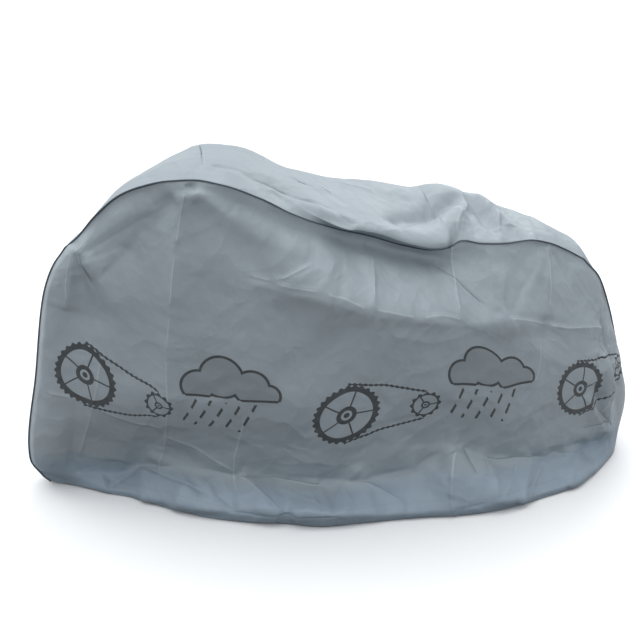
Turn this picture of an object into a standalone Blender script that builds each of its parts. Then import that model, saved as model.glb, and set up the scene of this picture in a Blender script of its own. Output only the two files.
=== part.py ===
"""Bicycle cover: a fitted sheet of silver film, in the shape it takes over a standing bicycle.

Two side panels and one top gusset are joined by two bound seams. The bicycle itself is left
out, so the cover is hollow and open below.

Sizes are worked out in a floor frame: x runs from the front wheel (-) to the rear wheel (+),
"out" is the distance from the bicycle's mid plane and "up" is the height above the floor. At
the end everything moves so that the origin lies at the mount, under the gusset, where the
handlebar carries the cover.
"""

import bmesh
import bpy
import numpy as np

# ---- driving dimensions, in metres ------------------------------------------------------------
MOUNT = (-0.41, 0.0, 1.07)    # where the handlebar carries the cover, in the floor frame
CLOTH = 0.002                 # thickness of the film with its backing
BINDING_THICK = 0.003         # folded tape over two cloth edges
BINDING_TALL = 0.006          # how far the tape stands out of the seam
BINDING_ROOT = 0.003          # how far it reaches in between the cloth edges
SEAM_GAP = 0.0005             # between a cloth edge and the tape
TWIST_ROOM = 0.2              # more room for the tape where it twists, as a share of its height
TAPE_EASING = 10              # passes that keep the tape from twisting sharply
LEAST_SINE = 0.5              # cloth closer than 30 degrees to the tape's line is set back no further
HEM_LIFT = 0.0025             # the lowest fold of the hem above the floor
CORNER_RISE = 0.25            # how far a hem set back rises, as a share of how far it is set back
COLUMNS = 48                  # cells along a side panel
END_CROWDING = 0.4            # share of the even spacing given up to crowd columns at the ends
ROWS_BETWEEN_LINES = (2, 3, 3, 5, 4, 3, 2)
# Places across the gusset, from its left seam (-1) to its right seam (1): the lines its sections
# are drawn through, and the columns of its grid.
GUSSET_KNOTS = (-1.0, -0.93, -0.5, 0.0, 0.5, 1.0)
GUSSET_ACROSS = (-1.0, -0.965, -0.93, -0.72, -0.5, -0.25, 0.0, 0.25, 0.5, 0.75, 1.0)
LEFT, RIGHT = -1, 1           # sign of Y on each side
TURN_BACK = 0.07              # the bar is turned, so its right end lies this much further back
TURN_DROP = 0.016             # and this much lower
TURN_FROM, TURN_TO = -0.36, 0.10   # the turn fades out between these places along x
BAR_UP = 1.05                 # height of the handlebar's ends

# ---- the lines that a side panel hangs through, from the seam down to the hem -----------------
# Each row is one section along the bicycle. The first row of a line lies on the front seam and
# the last row on the rear seam. "lip" is how far the gusset hangs over the seam there, and
# "recess" is how far the panel falls back in under it.
SEAM_COLUMNS = ("x", "out", "up", "lip", "recess")
SEAM_LINE = (
    (-0.771, 0.120, 0.833, 0.000, 0.000),
    (-0.731, 0.135, 0.867, 0.000, 0.000),
    (-0.675, 0.155, 0.930, 0.000, 0.000),
    (-0.604, 0.185, 0.991, 0.000, 0.000),
    (-0.542, 0.220, 1.021, 0.000, 0.000),
    (-0.466, 0.265, 1.043, 0.000, 0.000),
    (-0.400, 0.292, 1.049, 0.000, 0.000),
    (-0.323, 0.295, 1.034, 0.000, 0.004),
    (-0.216, 0.287, 0.991, 0.000, 0.008),
    (-0.135, 0.280, 0.950, 0.010, 0.014),
    (-0.020, 0.280, 0.910, 0.030, 0.024),
    (0.100, 0.282, 0.879, 0.042, 0.028),
    (0.220, 0.290, 0.842, 0.045, 0.028),
    (0.296, 0.296, 0.829, 0.043, 0.026),
    (0.340, 0.290, 0.832, 0.030, 0.020),
    (0.380, 0.266, 0.842, 0.012, 0.014),
    (0.445, 0.250, 0.824, 0.000, 0.008),
    (0.547, 0.220, 0.812, 0.000, 0.006),
    (0.625, 0.192, 0.810, 0.000, 0.002),
    (0.702, 0.172, 0.793, 0.000, 0.000),
    (0.768, 0.160, 0.765, 0.000, 0.000),
    (0.840, 0.150, 0.727, 0.000, 0.000),
)
LINE_COLUMNS = ("x", "out", "up")
UPPER_LINE = (
    (-0.812, 0.108, 0.778), (-0.780, 0.150, 0.800), (-0.690, 0.184, 0.860), (-0.560, 0.236, 0.945),
    (-0.470, 0.282, 0.965), (-0.400, 0.302, 0.960), (-0.290, 0.322, 0.905), (-0.190, 0.322, 0.865),
    (-0.080, 0.308, 0.825), (0.060, 0.304, 0.785), (0.200, 0.306, 0.750), (0.330, 0.310, 0.728),
    (0.450, 0.312, 0.715), (0.600, 0.270, 0.690), (0.740, 0.232, 0.668), (0.860, 0.180, 0.655),
    (0.900, 0.146, 0.668),
)
BREAK_LINE = (
    (-0.850, 0.098, 0.690), (-0.825, 0.150, 0.712), (-0.720, 0.180, 0.770), (-0.567, 0.238, 0.875),
    (-0.458, 0.300, 0.840), (-0.393, 0.330, 0.806), (-0.260, 0.360, 0.762), (-0.192, 0.374, 0.748),
    (-0.012, 0.392, 0.702), (0.076, 0.402, 0.676), (0.184, 0.402, 0.657), (0.345, 0.392, 0.618),
    (0.507, 0.360, 0.593), (0.640, 0.312, 0.560), (0.760, 0.276, 0.545), (0.880, 0.218, 0.512),
    (0.930, 0.175, 0.520), (0.958, 0.132, 0.560),
)
BELLY_LINE = (
    (-0.906, 0.076, 0.430), (-0.890, 0.116, 0.425), (-0.850, 0.146, 0.420), (-0.700, 0.198, 0.420),
    (-0.560, 0.252, 0.430), (-0.430, 0.312, 0.430), (-0.260, 0.354, 0.430), (-0.050, 0.380, 0.430),
    (0.200, 0.388, 0.420), (0.420, 0.384, 0.420), (0.620, 0.346, 0.400), (0.790, 0.298, 0.370),
    (0.920, 0.242, 0.350), (1.000, 0.185, 0.340), (1.036, 0.140, 0.335), (1.052, 0.085, 0.335),
)
WAIST_LINE = (
    (-0.968, 0.038, 0.110), (-0.950, 0.060, 0.100), (-0.900, 0.074, 0.085), (-0.799, 0.078, 0.070),
    (-0.680, 0.092, 0.060), (-0.584, 0.124, 0.100), (-0.424, 0.205, 0.119), (-0.301, 0.255, 0.106),
    (-0.187, 0.285, 0.101), (-0.045, 0.330, 0.084), (0.030, 0.335, 0.097), (0.152, 0.340, 0.094),
    (0.249, 0.342, 0.117), (0.376, 0.350, 0.190), (0.519, 0.340, 0.122), (0.764, 0.290, 0.083),
    (0.920, 0.232, 0.090), (1.030, 0.176, 0.120), (1.076, 0.130, 0.150), (1.094, 0.080, 0.160),
)
# "tuck" is how far the hem is drawn back in under the fold that stands on the floor, and "back" is
# how far it lies behind that fold where the front corner is rounded.
HEM_COLUMNS = ("x", "out", "tuck", "fold", "back")
HEM_LINE = (
    (-0.941, 0.022, 0.000, 0.036, 0.024), (-0.904, 0.030, 0.004, 0.028, 0.010),
    (-0.848, 0.052, 0.006, 0.022, 0.003), (-0.795, 0.080, 0.008, 0.020, 0.000),
    (-0.725, 0.124, 0.010, 0.020, 0.000), (-0.658, 0.156, 0.010, 0.022, 0.000),
    (-0.590, 0.204, 0.012, 0.026, 0.000), (-0.512, 0.257, 0.016, 0.030, 0.000),
    (-0.403, 0.321, 0.020, 0.036, 0.000), (-0.295, 0.362, 0.030, 0.046, 0.000),
    (-0.185, 0.390, 0.034, 0.050, 0.000), (-0.047, 0.430, 0.032, 0.050, 0.000),
    (0.045, 0.430, 0.024, 0.042, 0.000), (0.148, 0.430, 0.012, 0.026, 0.000),
    (0.290, 0.436, 0.014, 0.026, 0.000), (0.404, 0.444, 0.022, 0.036, 0.000),
    (0.509, 0.436, 0.024, 0.038, 0.000), (0.585, 0.418, 0.014, 0.028, 0.000),
    (0.664, 0.396, 0.008, 0.022, 0.000), (0.795, 0.354, 0.010, 0.024, 0.000),
    (0.890, 0.296, 0.014, 0.030, 0.000), (0.985, 0.216, 0.016, 0.034, 0.000),
    (1.050, 0.150, 0.014, 0.036, 0.000), (1.082, 0.080, 0.008, 0.036, 0.000),
)
# How far down each line comes, as a share of the way from the seam to the hem.
LINE_DEPTHS = (0.0, 0.045, 0.15, 0.29, 0.58, 0.88, 0.955, 1.0)
RECESS_DEPTH = 0.30           # the recess lies this share of the way from the seam to UPPER_LINE

# ---- the gusset's rise above the chord between its two seams -----------------------------------
# "path" runs 0 to 1 up the front seam, 1 to 2 along the top and 2 to 3 down the rear seam.
# "round" is 2 for a dome and nearer 1 where the cloth falls straight from a ridge.
CROWN_COLUMNS = ("path", "crown", "round")
CROWN = (
    (0.00, 0.003, 2.0), (0.80, 0.004, 2.2), (1.00, 0.009, 2.4), (1.10, 0.016, 2.6),
    (1.18, 0.033, 2.6), (1.23, 0.049, 2.8), (1.27, 0.060, 2.6), (1.31, 0.069, 2.2),
    (1.36, 0.076, 1.8), (1.42, 0.086, 1.6), (1.48, 0.090, 1.5), (1.54, 0.106, 1.4),
    (1.61, 0.120, 1.3), (1.68, 0.118, 1.2), (1.75, 0.112, 1.2), (1.80, 0.108, 1.2),
    (1.85, 0.070, 1.5), (1.91, 0.044, 1.8), (1.96, 0.040, 2.0), (2.00, 0.042, 2.0),
    (2.15, 0.022, 2.0), (2.30, 0.004, 2.0), (3.00, 0.003, 2.0),
)
LIP_DROP = 0.016              # how far the hidden seam lies below a full lip
FOLD_PLACE = -0.72            # where the second knot lies across the gusset if there is no lip
LIP_FULL = 0.035              # from this much lip on, the gusset's fold is the outermost line

# ---- main folds ---------------------------------------------------------------------------------
# A fold is a soft ridge (height above 0) or trough (below 0) along a straight line from end a to
# end b, with a half width at either end. "v" is the height above the floor on a side panel and the
# place along Y on the gusset.
FOLD_COLUMNS = ("x_a", "v_a", "x_b", "v_b", "wide_a", "wide_b", "height")
LEFT_FOLDS = (
    (-0.385, 1.010, -0.020, 0.760, 0.024, 0.070, 0.018),     # ridge from the grip to the middle
    (-0.430, 1.000, -0.500, 0.420, 0.018, 0.045, 0.010),     # ridge straight down from the grip
    (-0.470, 0.985, -0.590, 0.840, 0.020, 0.055, -0.012),    # hollow in front of the grip
    (-0.300, 0.960, -0.120, 0.560, 0.050, 0.110, -0.012),    # hollow behind the grip's ridge
    (-0.738, 0.820, -0.720, 0.640, 0.014, 0.040, -0.016),    # crease at the front shoulder
    (-0.700, 0.800, -0.640, 0.690, 0.014, 0.034, 0.010),     # ridge beside it
    (-0.830, 0.640, -0.880, 0.240, 0.030, 0.040, 0.006),     # round front margin
    (0.690, 0.780, 0.500, 0.600, 0.020, 0.050, 0.014),       # rear facet's edge
    (0.690, 0.770, 0.650, 0.540, 0.016, 0.040, -0.010),      # fold below the rear seam
    (0.360, 0.180, 0.520, 0.060, 0.035, 0.060, 0.016),       # flare beside the pedal
    (0.060, 0.130, -0.020, 0.040, 0.025, 0.045, 0.010),      # floor fold amidships
    (-0.560, 0.130, -0.420, 0.050, 0.030, 0.060, 0.014),     # floor fold ahead of the pedal
    (0.900, 0.380, 0.980, 0.120, 0.020, 0.030, 0.012),       # gathers round the rear wheel
    (0.985, 0.440, 1.010, 0.200, 0.014, 0.020, -0.010),
    (0.840, 0.100, 0.930, 0.040, 0.020, 0.030, -0.012),
)
RIGHT_FOLDS = (
    (-0.400, 1.010, -0.160, 0.700, 0.024, 0.070, 0.016),
    (-0.430, 1.000, -0.560, 0.500, 0.020, 0.050, 0.012),
    (-0.300, 0.940, -0.260, 0.520, 0.040, 0.090, -0.012),
    (0.430, 0.800, 0.300, 0.520, 0.024, 0.060, 0.014),
    (0.470, 0.800, 0.620, 0.540, 0.022, 0.060, 0.012),
    (0.050, 0.720, 0.120, 0.300, 0.050, 0.090, -0.010),
    (-0.700, 0.780, -0.640, 0.420, 0.020, 0.050, -0.012),
    (-0.380, 0.180, -0.300, 0.050, 0.030, 0.060, 0.014),
    (0.240, 0.200, 0.160, 0.050, 0.030, 0.060, 0.014),
    (0.700, 0.200, 0.780, 0.050, 0.030, 0.050, -0.014),
    (0.960, 0.420, 1.000, 0.150, 0.016, 0.026, 0.010),
)
GUSSET_FOLDS = (
    (-0.330, -0.210, 0.040, -0.272, 0.014, 0.014, -0.010),   # long tuck beside the left seam
    (0.430, -0.070, 0.210, -0.210, 0.018, 0.034, -0.020),    # hollow from the saddle's nose
    (0.400, -0.150, 0.300, -0.260, 0.030, 0.040, 0.014),     # puff over the lip's end
    (0.470, -0.050, 0.540, -0.210, 0.018, 0.040, -0.012),    # hollow behind the saddle
    (0.515, -0.030, 0.600, -0.180, 0.016, 0.030, 0.010),     # ridge from the saddle to the seam
    (0.430, 0.070, 0.240, 0.220, 0.020, 0.040, -0.014),
    (0.500, 0.060, 0.600, 0.170, 0.018, 0.036, -0.010),
    (-0.150, 0.050, 0.160, 0.120, 0.030, 0.050, -0.008),
)
FOLD_MARGIN = 0.05            # share of a panel's depth or length over which folds fade out


def column(rows, columns, name):
    """One named column of a table."""
    return np.array([row[columns.index(name)] for row in rows])


def smooth(keys, values, at):
    """Read a curve through (key, value) rows that never swings past the rows beside it."""
    keys, values, at = np.asarray(keys, float), np.asarray(values, float), np.asarray(at, float)
    trailing = (1,) * (values.ndim - 1)
    step = np.diff(keys).reshape(-1, *trailing)
    slope = np.diff(values, axis=0) / step
    before, after = slope[:-1], slope[1:]
    same_way = before * after > 0
    total = np.where(same_way, before + after, 1.0)
    inner = np.where(same_way, 2.0 * before * after / total, 0.0)
    tangent = np.concatenate([slope[:1], inner, slope[-1:]])
    index = np.clip(np.searchsorted(keys, at, side="right") - 1, 0, len(keys) - 2)
    width = step[index]
    t = ((at - keys[index]).reshape(-1, *trailing)) / width
    return (
        (2 * t**3 - 3 * t**2 + 1) * values[index]
        + (t**3 - 2 * t**2 + t) * width * tangent[index]
        + (3 * t**2 - 2 * t**3) * values[index + 1]
        + (t**3 - t**2) * width * tangent[index + 1]
    )


def unit(vectors):
    """Vectors of length 1 along the last axis."""
    return vectors / np.linalg.norm(vectors, axis=-1, keepdims=True)


def fold_heights(x, v, rows):
    """Sum of the soft ridges and troughs of a table of folds at the points (x, v)."""
    total = np.zeros_like(x)
    for row in rows:
        fold = dict(zip(FOLD_COLUMNS, row))
        run_x, run_v = fold["x_b"] - fold["x_a"], fold["v_b"] - fold["v_a"]
        from_x, from_v = x - fold["x_a"], v - fold["v_a"]
        share = np.clip((from_x * run_x + from_v * run_v) / (run_x**2 + run_v**2), 0.0, 1.0)
        distance = np.hypot(from_x - share * run_x, from_v - share * run_v)
        width = fold["wide_a"] + (fold["wide_b"] - fold["wide_a"]) * share
        total += fold["height"] * np.exp(-((distance / width) ** 2))
    return total


# ---- side panels --------------------------------------------------------------------------------
def column_shares():
    """Where the columns lie along a line, from 0 to 1, a little closer together at the ends."""
    even = np.linspace(0.0, 1.0, COLUMNS + 1)
    eased = 0.5 - 0.5 * np.cos(np.pi * even)
    return (1.0 - END_CROWDING) * even + END_CROWDING * eased


def row_depths():
    """Where the rows lie between the seam (0) and the hem (1)."""
    depths = [0.0]
    for start, end, count in zip(LINE_DEPTHS, LINE_DEPTHS[1:], ROWS_BETWEEN_LINES):
        depths += [start + (end - start) * step / count for step in range(1, count + 1)]
    return np.array(depths)


def read_along(rows, columns, name, shares):
    """A column of a line's table at the given shares of the line's length along x."""
    keys = column(rows, columns, "x")
    return smooth(keys, column(rows, columns, name), keys[0] + (keys[-1] - keys[0]) * shares)


def line_points(rows, columns, side, shares):
    """Points of one line. On the right they move back and down round the turned handlebar."""
    x, out, up = (read_along(rows, columns, name, shares) for name in ("x", "out", "up"))
    if side == RIGHT:
        ahead = np.clip((TURN_TO - x) / (TURN_TO - TURN_FROM), 0.0, 1.0)
        share = ahead * np.clip(up / BAR_UP, 0.0, 1.0) ** 2
        x, up = x + TURN_BACK * share, up - TURN_DROP * share
    return np.stack([x, side * out, up], axis=-1)


def seam_points(side, shares):
    """The edge that shows along the top, the seam tucked in behind its lip, and both depths."""
    edge = line_points(SEAM_LINE, SEAM_COLUMNS, side, shares)
    lip, recess = (
        read_along(SEAM_LINE, SEAM_COLUMNS, name, shares) * (side == LEFT)
        for name in ("lip", "recess"))
    seam = edge.copy()
    seam[:, 1] -= side * lip
    seam[:, 2] -= LIP_DROP * np.clip(lip / LIP_FULL, 0.0, 1.0)
    return edge, seam, lip, recess


def hem_points(side, shares):
    """The fold that stands on the floor, and the hem drawn back in under it."""
    out, tuck, fold, back = (
        read_along(HEM_LINE, HEM_COLUMNS, name, shares) for name in HEM_COLUMNS[1:])
    x = read_along(HEM_LINE, HEM_COLUMNS, "x", shares)
    return (
        np.stack([x, side * (out + tuck), fold], axis=-1),
        np.stack([x + back, side * out, HEM_LIFT + back * CORNER_RISE], axis=-1),
    )


def side_grid(side):
    """Grid of points, rows from the seam to the hem and columns from front to rear."""
    shares = column_shares()
    _, seam, _, recess = seam_points(side, shares)
    upper, crease, belly, waist = (
        line_points(rows, LINE_COLUMNS, side, shares)
        for rows in (UPPER_LINE, BREAK_LINE, BELLY_LINE, WAIST_LINE))
    under = seam + (upper - seam) * RECESS_DEPTH
    under[:, 1] -= side * recess
    lines = np.stack([seam, under, upper, crease, belly, waist, *hem_points(side, shares)])
    return add_side_folds(smooth(LINE_DEPTHS, lines, row_depths()), side)


def surface_normals(grid, side):
    """Outward unit normals of a side panel's grid."""
    return unit(np.cross(np.gradient(grid, axis=0), np.gradient(grid, axis=1)) * -side)


def fade_in(share):
    """0 at the edge of a panel and 1 from FOLD_MARGIN on."""
    return np.clip(share / FOLD_MARGIN, 0.0, 1.0) ** 2


def add_side_folds(grid, side):
    """Push the panel out along its ridges and in along its troughs, clear of its edges."""
    rows = LEFT_FOLDS if side == LEFT else RIGHT_FOLDS
    depth = row_depths()[:, None]
    share = column_shares()[None, :]
    fade = fade_in(depth) * fade_in(1.0 - depth) * fade_in(share) * fade_in(1.0 - share)
    heights = fold_heights(grid[..., 0], grid[..., 2], rows) * fade
    grid = grid + surface_normals(grid, side) * heights[..., None]
    grid[..., 2] = np.maximum(grid[..., 2], HEM_LIFT)
    return grid


# ---- the seam path and the gusset ---------------------------------------------------------------
def rim(grid):
    """The grid's front edge upward, its top edge and its rear edge downward, as one path."""
    return np.concatenate([grid[:0:-1, 0], grid[0, :], grid[1:, -1]])


def rim_neighbours(grid):
    """For each point of the rim, the nearest point inside the panel."""
    top = grid[1, 1:-1]
    front = grid[:1:-1, 1]
    rear = grid[2:, -2]
    corners = grid[1, 1][None], grid[1, -2][None]
    return np.concatenate([front, corners[0], corners[0], top, corners[1], corners[1], rear])


def path_numbers():
    """Place of each rim point: 0 to 1 up the front, 1 to 2 along the top, 2 to 3 down the rear."""
    depths = row_depths()
    return np.concatenate([1.0 - depths[:0:-1], 1.0 + column_shares(), 2.0 + depths[1:]])


def gusset_grid(left_rim, right_rim):
    """Grid of points, rows along the path and columns from the left seam to the right seam.

    Where there is a lip, the first two knots are the hidden seam and the lip's outer edge.
    """
    path = path_numbers()
    edge, _, lip, _ = seam_points(LEFT, column_shares())
    ends = np.zeros(len(row_depths()) - 1)
    lips = np.concatenate([ends, lip, ends])
    left_edge = left_rim.copy()
    left_edge[len(ends):-len(ends)] = edge
    crown, roundness = (
        smooth(column(CROWN, CROWN_COLUMNS, "path"), column(CROWN, CROWN_COLUMNS, name), path)
        for name in ("crown", "round"))
    middle = 0.5 * (left_edge + right_rim)
    along = np.gradient(middle, axis=0)
    outward = unit(np.stack([-along[:, 2], np.zeros(len(along)), along[:, 0]], axis=-1))

    def natural(place):
        """The section without its lip, at a place from -1 (left) to 1 (right)."""
        share = (place + 1.0) * 0.5
        rise = crown * (1.0 - np.abs(place) ** roundness)
        return left_edge + (right_rim - left_edge) * share[:, None] + outward * rise[:, None]

    drawn = np.clip(lips / LIP_FULL, 0.0, 1.0)
    lip_edge = natural(FOLD_PLACE - (1.0 + FOLD_PLACE) * drawn)
    free_knots = [natural(np.full(len(path), place)) for place in GUSSET_KNOTS[2:-1]]
    knots = np.stack([left_rim, lip_edge, *free_knots, right_rim])
    grid = np.swapaxes(smooth(GUSSET_KNOTS, knots, GUSSET_ACROSS), 0, 1)
    across = np.array(GUSSET_ACROSS)[None, :]
    fade = fade_in(0.5 * (1.0 - np.abs(across)))
    heights = fold_heights(grid[..., 0], grid[..., 1], GUSSET_FOLDS) * fade
    on_top = ((path > 1.0) & (path < 2.0))[:, None]
    return grid + outward[:, None, :] * (heights * on_top)[..., None]


# ---- room for the binding -----------------------------------------------------------------------
def seam_frame(seam, side_inner, gusset_inner, side):
    """Directions at each point of a seam: outward along the tape, and into either cloth."""
    along = unit(np.gradient(seam, axis=0))

    def flat(towards):
        lengthways = np.sum(towards * along, axis=-1, keepdims=True) * along
        return unit(towards - lengthways)

    into_side = flat(side_inner - seam)
    into_gusset = flat(gusset_inner - seam)
    normals = (np.cross(into_gusset, along) - np.cross(into_side, along)) * side
    for _ in range(TAPE_EASING):
        normals[1:-1] = (normals[:-2] + 2.0 * normals[1:-1] + normals[2:]) / 4.0
    return flat(unit(normals)), into_side, into_gusset


def set_back(seam, outward, into):
    """The cloth's edge, moved off the seam so that the tape fits between the two cloths."""
    cosine = -np.sum(outward * into, axis=-1)
    sine = np.maximum(np.sqrt(1.0 - cosine**2), LEAST_SINE)
    twist = np.linalg.norm(np.gradient(outward, axis=0), axis=-1) * BINDING_TALL * TWIST_ROOM
    need = BINDING_THICK * 0.5 + SEAM_GAP + twist + np.maximum(CLOTH * cosine, 0.0)
    return seam + into * (need / sine)[:, None]


def write_rim(grid, points):
    """Put new points on the front, top and rear edges of a side panel's grid."""
    last_row = grid.shape[0] - 1
    grid[:0:-1, 0] = points[:last_row]
    grid[0, :] = points[last_row:-last_row]
    grid[1:, -1] = points[-last_row:]


# ---- Blender objects ----------------------------------------------------------------------------
def clear_scene():
    for old in list(bpy.data.objects):
        bpy.data.objects.remove(old, do_unlink=True)


def film_material(name, colour, roughness):
    material = bpy.data.materials.new(name)
    material.use_nodes = True
    shader = material.node_tree.nodes["Principled BSDF"]
    shader.inputs["Base Color"].default_value = (*colour, 1.0)
    shader.inputs["Roughness"].default_value = roughness
    shader.inputs["Metallic"].default_value = 0.0
    return material


def sheet_object(name, grid, thickness, offset, material, collection, flip=False):
    """A sheet through a grid of points, thickened by Solidify. offset -1 thickens inward."""
    rows, columns = grid.shape[:2]
    mesh = bpy.data.meshes.new(name)
    shape = bmesh.new()
    bmesh.ops.create_grid(shape, x_segments=columns - 1, y_segments=rows - 1, size=0.5)
    shape.verts.ensure_lookup_table()
    for vertex in shape.verts:
        column_index = round((vertex.co.x + 0.5) * (columns - 1))
        row_index = round((vertex.co.y + 0.5) * (rows - 1))
        vertex.co = grid[row_index, column_index] - np.array(MOUNT)
    if flip:
        bmesh.ops.reverse_faces(shape, faces=shape.faces)
    bmesh.ops.triangulate(shape, faces=shape.faces, quad_method="SHORT_EDGE")
    shape.to_mesh(mesh)
    shape.free()
    mesh.shade_smooth()
    mesh.materials.append(material)
    sheet = bpy.data.objects.new(name, mesh)
    collection.objects.link(sheet)
    wall = sheet.modifiers.new("Wall", "SOLIDIFY")
    wall.thickness = thickness
    wall.offset = offset
    wall.use_even_offset = False
    wall.use_quality_normals = True
    return sheet


def main():
    clear_scene()
    collection = bpy.data.collections.new("bicycle_cover")
    bpy.context.scene.collection.children.link(collection)
    film = film_material("silver_film", (0.40, 0.45, 0.49), 0.45)
    tape = film_material("dark_tape", (0.03, 0.04, 0.045), 0.6)

    sides = {side: side_grid(side) for side in (LEFT, RIGHT)}
    rims = {side: rim(sides[side]) for side in sides}
    gusset = gusset_grid(rims[LEFT], rims[RIGHT])
    gusset_edges = {LEFT: 0, RIGHT: -1}
    gusset_inner = {LEFT: gusset[:, 1].copy(), RIGHT: gusset[:, -2].copy()}
    for side, label in ((LEFT, "left"), (RIGHT, "right")):
        seam = rims[side]
        outward, into_side, into_gusset = seam_frame(
            seam, rim_neighbours(sides[side]), gusset_inner[side], side)
        write_rim(sides[side], set_back(seam, outward, into_side))
        gusset[:, gusset_edges[side]] = set_back(seam, outward, into_gusset)
        ribbon = np.stack([seam - outward * BINDING_ROOT, seam + outward * BINDING_TALL], axis=1)
        sheet_object(f"binding_{label}", ribbon, BINDING_THICK, 0.0, tape, collection)
        sheet_object(f"side_panel_{label}", sides[side], CLOTH, -1.0, film, collection,
                     flip=side == LEFT)
    sheet_object("top_gusset", gusset, CLOTH, -1.0, film, collection, flip=True)


main()
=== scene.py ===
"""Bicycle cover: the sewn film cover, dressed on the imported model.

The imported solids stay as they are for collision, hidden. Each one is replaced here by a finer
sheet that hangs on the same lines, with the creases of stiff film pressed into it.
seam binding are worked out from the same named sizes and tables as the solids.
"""

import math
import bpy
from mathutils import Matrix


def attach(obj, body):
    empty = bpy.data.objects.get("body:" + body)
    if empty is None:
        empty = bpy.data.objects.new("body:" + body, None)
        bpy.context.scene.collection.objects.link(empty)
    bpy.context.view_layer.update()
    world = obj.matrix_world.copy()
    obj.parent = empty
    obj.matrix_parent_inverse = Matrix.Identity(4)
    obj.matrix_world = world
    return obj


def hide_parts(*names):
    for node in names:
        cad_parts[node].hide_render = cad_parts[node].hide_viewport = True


bl_info = {
    "name": "Bicycle cover",
    "version": (1, 0, 0),
    "blender": (4, 5, 0),
    "location": "View3D > Sidebar > Bicycle cover",
    "description": "Sheets, seam binding and stitching of a fitted film cover",
    "category": "Add Mesh",
}

from functools import partial, reduce

import bmesh
import bpy
import numpy as np
from mathutils import Matrix, Vector

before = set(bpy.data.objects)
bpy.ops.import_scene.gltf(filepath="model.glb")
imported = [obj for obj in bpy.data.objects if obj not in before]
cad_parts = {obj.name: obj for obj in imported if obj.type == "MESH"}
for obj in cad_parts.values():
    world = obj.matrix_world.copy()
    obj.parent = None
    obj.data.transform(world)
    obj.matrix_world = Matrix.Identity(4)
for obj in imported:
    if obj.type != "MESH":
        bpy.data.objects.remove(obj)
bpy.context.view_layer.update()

# Columns of the tables below that hold something other than a length.
UNSCALED = ("path", "round", "raised", "kind", "count", "turn", "spread", "shift")


def table(columns, rows):
    """Rows by column name. A length is written in millimetres and kept in metres."""
    return [
        {name: value if name in UNSCALED else round(value / 1000.0, 6)
         for name, value in zip(columns.split(), row)}
        for row in rows]


# ---- sizes ----
# In metres, in a floor frame: x from the front wheel to the rear wheel, up from the floor.
LEFT, RIGHT = -1, 1
SIDES = ((LEFT, "left"), (RIGHT, "right"))
MOUNT = np.array((-0.41, 0.0, 1.07))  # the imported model's origin, in the floor frame
# side panels
COLUMNS = 288  # cells along a side panel
END_CROWDING = 0.4  # how much closer together the columns lie at its ends
LINE_DEPTHS = (0.0, 0.045, 0.15, 0.29, 0.58, 0.88, 0.955, 1.0)  # seam (0) to hem (1)
ROWS_BETWEEN_LINES = (6, 12, 16, 38, 46, 26, 14)
BELLY_ROW = sum(ROWS_BETWEEN_LINES[:4])
RECESS_DEPTH = 0.30  # the recess lies this share of the way from the seam to UPPER_LINE
TURN_BACK, TURN_DROP = 0.07, 0.016  # the right side hangs further back and lower at the grip
TURN_FROM, TURN_TO = -0.36, 0.10  # and is in place again behind TURN_TO
BAR_UP = 1.05  # height of the handlebar's ends
HEM_LIFT = 0.0025  # of the hem above the floor
CORNER_RISE = 0.25  # how far a drawn back corner of the hem rises, for each metre back
HEM_FOLD = 0.035  # length of the hem's tucked part, under the fold on the floor
TUCK_SHARE = 0.5  # the soft film stands out this share as far over its hem as the solid
# gusset, from its left seam (-1) to its right seam (1)
GUSSET_KNOTS = (-1.0, -0.93, -0.5, 0.0, 0.5, 1.0)
GUSSET_PLACES = (-1.0, -0.965, -0.93, -0.72, -0.5, -0.25, 0.0, 0.25, 0.5, 0.75, 1.0)
GUSSET_CELLS = (5, 6, 15, 15, 10, 6, 5, 5, 5, 6)
LIP_DROP = 0.016  # how far the hidden seam lies below a full lip
LIP_FULL = 0.035  # from this much lip on, the gusset's fold is the outermost line
FOLD_PLACE = -0.72  # where the second knot lies across the gusset if there is no lip
# folds and creases
FOLD_MARGIN = 0.05  # share of a panel's depth or length over which folds fade out
EDGE_HOLD = 0.012  # the same for creases, which run up close to the seams
TAPER = 0.35  # how quickly a crease comes up from its ends
CREASE_REACH = 5.0  # a crease is left out beyond this many times its width
STEP_EDGE = 0.005  # half width of the rise at a lap
STEP_SHARE = 0.12  # share of the small random creases that are laps
# Least share of the table's size that a small random crease has, and how far it varies above that.
LONG_LEAST, LONG_SPREAD = 0.5, 1.0
HEIGHT_LEAST, HEIGHT_SPREAD = 0.4, 0.6
WIDE_LEAST, WIDE_SPREAD = 0.7, 0.6
SIDE_SEED, GUSSET_SEED = 7, 11
# sewing
BINDING_ROOT = 0.003  # how far the tape reaches in between the cloth edges
TAPE_EASING = 400  # passes that keep the tape from twisting sharply
TAPE_FOLD_STEPS = 7  # points round the fold at the tape's top
STITCH_SIDES = 6
STITCH_TAPER = 0.55  # how much thinner a stitch is at its ends
STITCH_STAND = 0.6  # of the thread's radius, from the cloth to the stitch's middle
STITCH_AHEAD = 0.001  # how far ahead the line is read for a stitch's direction
HEM_ENDS = 3  # columns at either end of the hem that have no stitches

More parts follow.
